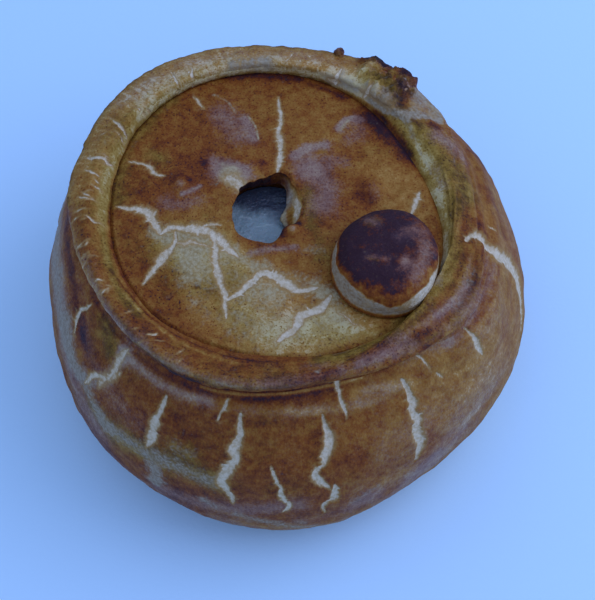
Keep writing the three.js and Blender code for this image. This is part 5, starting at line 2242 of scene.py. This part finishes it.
@dataclass
class ButtonCrust:
    """The thick pastry button: a dark, domed top on a paler side, baked on to the lid.

    slump says how far its top has slid aside in mm, sink how far its foot lies in the lid, and
    smoothing over how many rows its profile's corners are rounded.
    """

    form: PieForm
    shift: Array
    columns: int = 360
    rows: int = 130
    smoothing: int = 9
    slump: Span = (1.2, 0.0)
    sink: float = 0.25
    stroke_depth: float = 0.3
    seed: int = 211

    def profile(self) -> tuple[Array, Array]:
        """The profile in evenly spaced rows.

        Returns:
            Shares of the radius and shares of the height, one column each.
        """
        shares, levels = np.array(BUTTON_PROFILE).T
        steps = np.hypot(np.diff(shares * self.form.button_radius), np.diff(levels * self.form.button_height))
        along = np.concatenate([[0.0], np.cumsum(steps)])
        even = np.linspace(0.0, along[-1], self.rows)
        kernel = np.hanning(self.smoothing) / np.hanning(self.smoothing).sum()
        end = self.smoothing // 2
        smooth = []
        for values in (shares, levels):
            line = np.interp(even, along, values)
            line[end:-end] = np.convolve(line, kernel, "valid")
            smooth.append(line[:, None])
        return smooth[0], smooth[1]

    def build(self, finish: CrustFinish) -> list[Piece]:
        """Makes the button from its profile, carried round its waved outline and stood on the lid.

        Noise pushes it along its normals, and its top has slumped aside.

        Args:
            finish: Its look.

        Returns:
            The one piece.
        """
        angle = np.linspace(0.0, TURN, self.columns, endpoint=False)
        share, level = self.profile()
        radius = self.form.button_radius + Course.BUTTON.swing(angle)
        points = circle(self.form.button, share * radius, angle, 0.0)
        stand = self.form.lid_top(points[..., 0], points[..., 1]) + self.form.gap
        points[..., 2] = stand + level * self.form.button_height - self.sink * (level == 0.0)
        push = pile(points, self.seed, *BUTTON_LUMPS) * ease(level, 0.02, 0.3)
        points += normals_of(points) * push[..., None]
        points[..., :2] += level[..., None] * np.array(self.slump)
        skin = Skin(points, self.browning_and_shade(points, level, angle))
        return [settle(skin.build("button_crust", self.shift), finish.material(), "button_crust", "button")]

    def browning_and_shade(self, points: Array, level: Array, angle: Array) -> dict[Mark, Array]:
        """Paints the button: near black on top, down to a height that changes round it, and pale below, over
        a browner foot that is partly painted shade where it meets the lid.

        Args:
            points: The button's grid.
            level: Height of each row as a share of the button's.
            angle: Angle of each column.

        Returns:
            The marks, rows x columns each.
        """
        seed = self.seed
        above = level - read_off(BUTTON_EDGE, np.degrees(angle))
        uneven = pile(points, seed, BUTTON_UNEVEN)
        dark = ease(above + 0.5 * uneven, -0.03, 0.05)
        crown = ease(above + uneven - TOASTED_FRONT.at(angle), 0.04, 0.22)
        # a browner foot, partly toasted and partly painted shade where the button meets the lid
        side = 0.16 + 0.5 * (1.0 - ease(level, 0.1, 0.2))
        bake = side + (0.64 - side) * dark + 0.42 * crown * dark
        ground = {
            BAKE: bake + (0.06 + 0.1 * crown) * pile(points, seed, BUTTON_CHAR),
            KHAKI: 0.2 * (1.0 - dark),
            PALE: 0.9 * (1.0 - dark) * ease(level, 0.1, 0.22),
            FILM: 0.2 * crown + pile(points, seed, BUTTON_FILM),
            SPECK: 0.3,
            OPEN: TORN_RIGHT.at(angle) * (1.0 - dark) * ease(level, 0.14, 0.3),
        }
        canvas = Canvas(points, seed + 60, ground)
        height = points[..., 2].max() - self.stroke_depth
        for stroke in BUTTON_STROKES:
            pairs = spline_through(stroke.points, STROKE_SPACING * stroke.size, PLAN)
            canvas.add(stroke, np.column_stack([pairs, np.full(len(pairs), height)]))
        return canvas.marks


# --- the jelly
@dataclass
class JellyPlug:
    """The set stock in the pocket: highest at the front, sunk at the back, with lumps of meat in it.

    Below the lid's floor its face is sunk by sink, by up to back_dip towards the back and by up
    to middle_dip in the middle, in mm.
    """

    form: PieForm
    shift: Array
    columns: int = 200
    rows: int = 70
    side_rows: int = 5
    sink: float = 0.4
    back_dip: float = 1.0
    middle_dip: float = 0.5
    lumps: Layer = Layer(0.32, 4.0, 2, 0)
    seed: int = 307

    def build(self, finish: JellyFinish) -> list[Piece]:
        """Makes the plug: a flat bottom, a straight side and an uneven top that dips to the back.

        Args:
            finish: Its look.

        Returns:
            The one piece.
        """
        form = self.form
        angle = np.linspace(0.0, TURN, self.columns, endpoint=False)
        bottom = form.lid_floor - form.jelly_depth
        share = np.linspace(1.0, 0.02, self.rows)[:, None]
        face = circle(form.hole, share * form.jelly_radius, angle, form.lid_floor)
        back = (face[..., 1] - form.hole[1]) / form.jelly_radius
        dip = self.back_dip * ease(back, -0.4, 0.9) + self.middle_dip * (1.0 - share**2)
        face[..., 2] -= dip + pile(face, self.seed, self.lumps) + self.sink
        up = np.linspace(0.0, 1.0, self.side_rows, endpoint=False)[:, None]
        side = circle(form.hole, form.jelly_radius, angle, bottom + (face[0, :, 2] - bottom) * up)
        middle = circle(form.hole, 0.5 * form.jelly_radius, angle, bottom)
        points = np.concatenate([middle[None], side, face])
        toward = (points[..., :2] - np.array(form.hole)) / form.jelly_radius
        # painted shade: darker towards the back and the right, where the hole's wall shades the jelly
        shade = ease(toward[..., 1] + 0.3 * toward[..., 0], -0.15, 0.55)
        piece = Skin(points, {BAKE: shade}).build("jelly_plug", self.shift)
        return [settle(piece, finish.material(), "jelly", "jelly")]


# --- the set
@dataclass(frozen=True)
class Stage:
    """A plain floor, soft light from the right and the back, and the camera.

    The camera's aim and distance are in mm, its elevation in degrees, and all else in metres.
    """

    aim: Triple = (2.3, 0.7, 20.9)
    distance: float = 420.0
    elevation: float = 61.5
    lens: float = 98.76
    clip: Span = (0.01, 10.0)
    sky: Colour = (0.36, 0.53, 0.95)
    sky_strength: float = 1.0
    floor_half: float = 1.5
    lamp_place: Triple = (0.46, 0.05, 0.50)
    lamp_aim: Triple = (0.0, 0.0, 0.04)
    lamp_size: float = 0.6
    lamp_power: float = 2.3
    lamp_colour: Colour = (0.50, 0.60, 1.0)

    def floor(self) -> None:
        """A wide flat sheet under the pie."""
        half = self.floor_half
        mesh = bpy.data.meshes.new("floor")
        corners = [(-half, -half, 0.0), (half, -half, 0.0), (half, half, 0.0), (-half, half, 0.0)]
        mesh.from_pydata(corners, [], [(0, 1, 2, 3)])
        mesh.materials.append(FloorFinish().material())
        place_in_scene(bpy.data.objects.new("floor", mesh))

    def window(self) -> None:
        """A square lamp that looks at the pie's middle, as a wide window to the right and behind."""
        light = bpy.data.lights.new("window", "AREA")
        light.size = self.lamp_size
        light.energy = self.lamp_power
        light.color = self.lamp_colour
        lamp = place_in_scene(bpy.data.objects.new("window", light))
        lamp.location = self.lamp_place
        lamp.rotation_euler = (Vector(self.lamp_aim) - lamp.location).to_track_quat("-Z", "Y").to_euler()

    def daylight(self) -> None:
        """Even sky light all round."""
        world = bpy.data.worlds.new("sky")
        world.use_nodes = True
        background = world.node_tree.nodes["Background"]
        background.inputs["Color"].default_value = (*self.sky, 1.0)
        background.inputs["Strength"].default_value = self.sky_strength
        bpy.context.scene.world = world

    def camera(self) -> None:
        """The camera, in front of the pie and well above it."""
        data = bpy.data.cameras.new("camera")
        data.lens = self.lens
        data.clip_start, data.clip_end = self.clip
        camera = place_in_scene(bpy.data.objects.new("camera", data))
        rise = math.radians(self.elevation)
        back = Vector((0.0, -math.cos(rise), math.sin(rise)))
        camera.location = Vector(self.aim) * MM + back * (self.distance * MM)
        camera.rotation_euler = (-back).to_track_quat("-Z", "Y").to_euler()
        bpy.context.scene.camera = camera
        bpy.context.scene.view_settings.view_transform = "Standard"

    def build(self) -> None:
        """Sets up everything round the pie."""
        self.floor()
        self.daylight()
        self.window()
        self.camera()


def main() -> None:
    """Loads the frame, builds every piece on it, and logs how many faces each piece has."""
    logging.basicConfig(level=logging.INFO, format="%(name)s %(message)s")
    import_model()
    form = PieForm()
    low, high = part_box("jelly")
    middle = (np.array(low) + np.array(high)) / 2.0 / MM
    shift = np.array([middle[0] - form.hole[0], middle[1] - form.hole[1], 0.0])
    Stage().build()
    lid_glaze = CrustFinish("lid_glaze", pale_light=srgb(186, 166, 126), pale_dark=srgb(156, 127, 82))
    pieces = [
        *CaseCrust(form, shift).build(CrustFinish("baked_crust")),
        *Crag(form, shift).build(CrustFinish("crag_crust")),
        *LidCrust(form, shift).build(lid_glaze),
        *ButtonCrust(form, shift).build(CrustFinish("button_glaze")),
        *JellyPlug(form, shift).build(JellyFinish("set_jelly")),
    ]
    for piece in pieces:
        log.info("%s: %d faces", piece.name, len(piece.data.polygons))


if __name__ == "__main__":
    main()
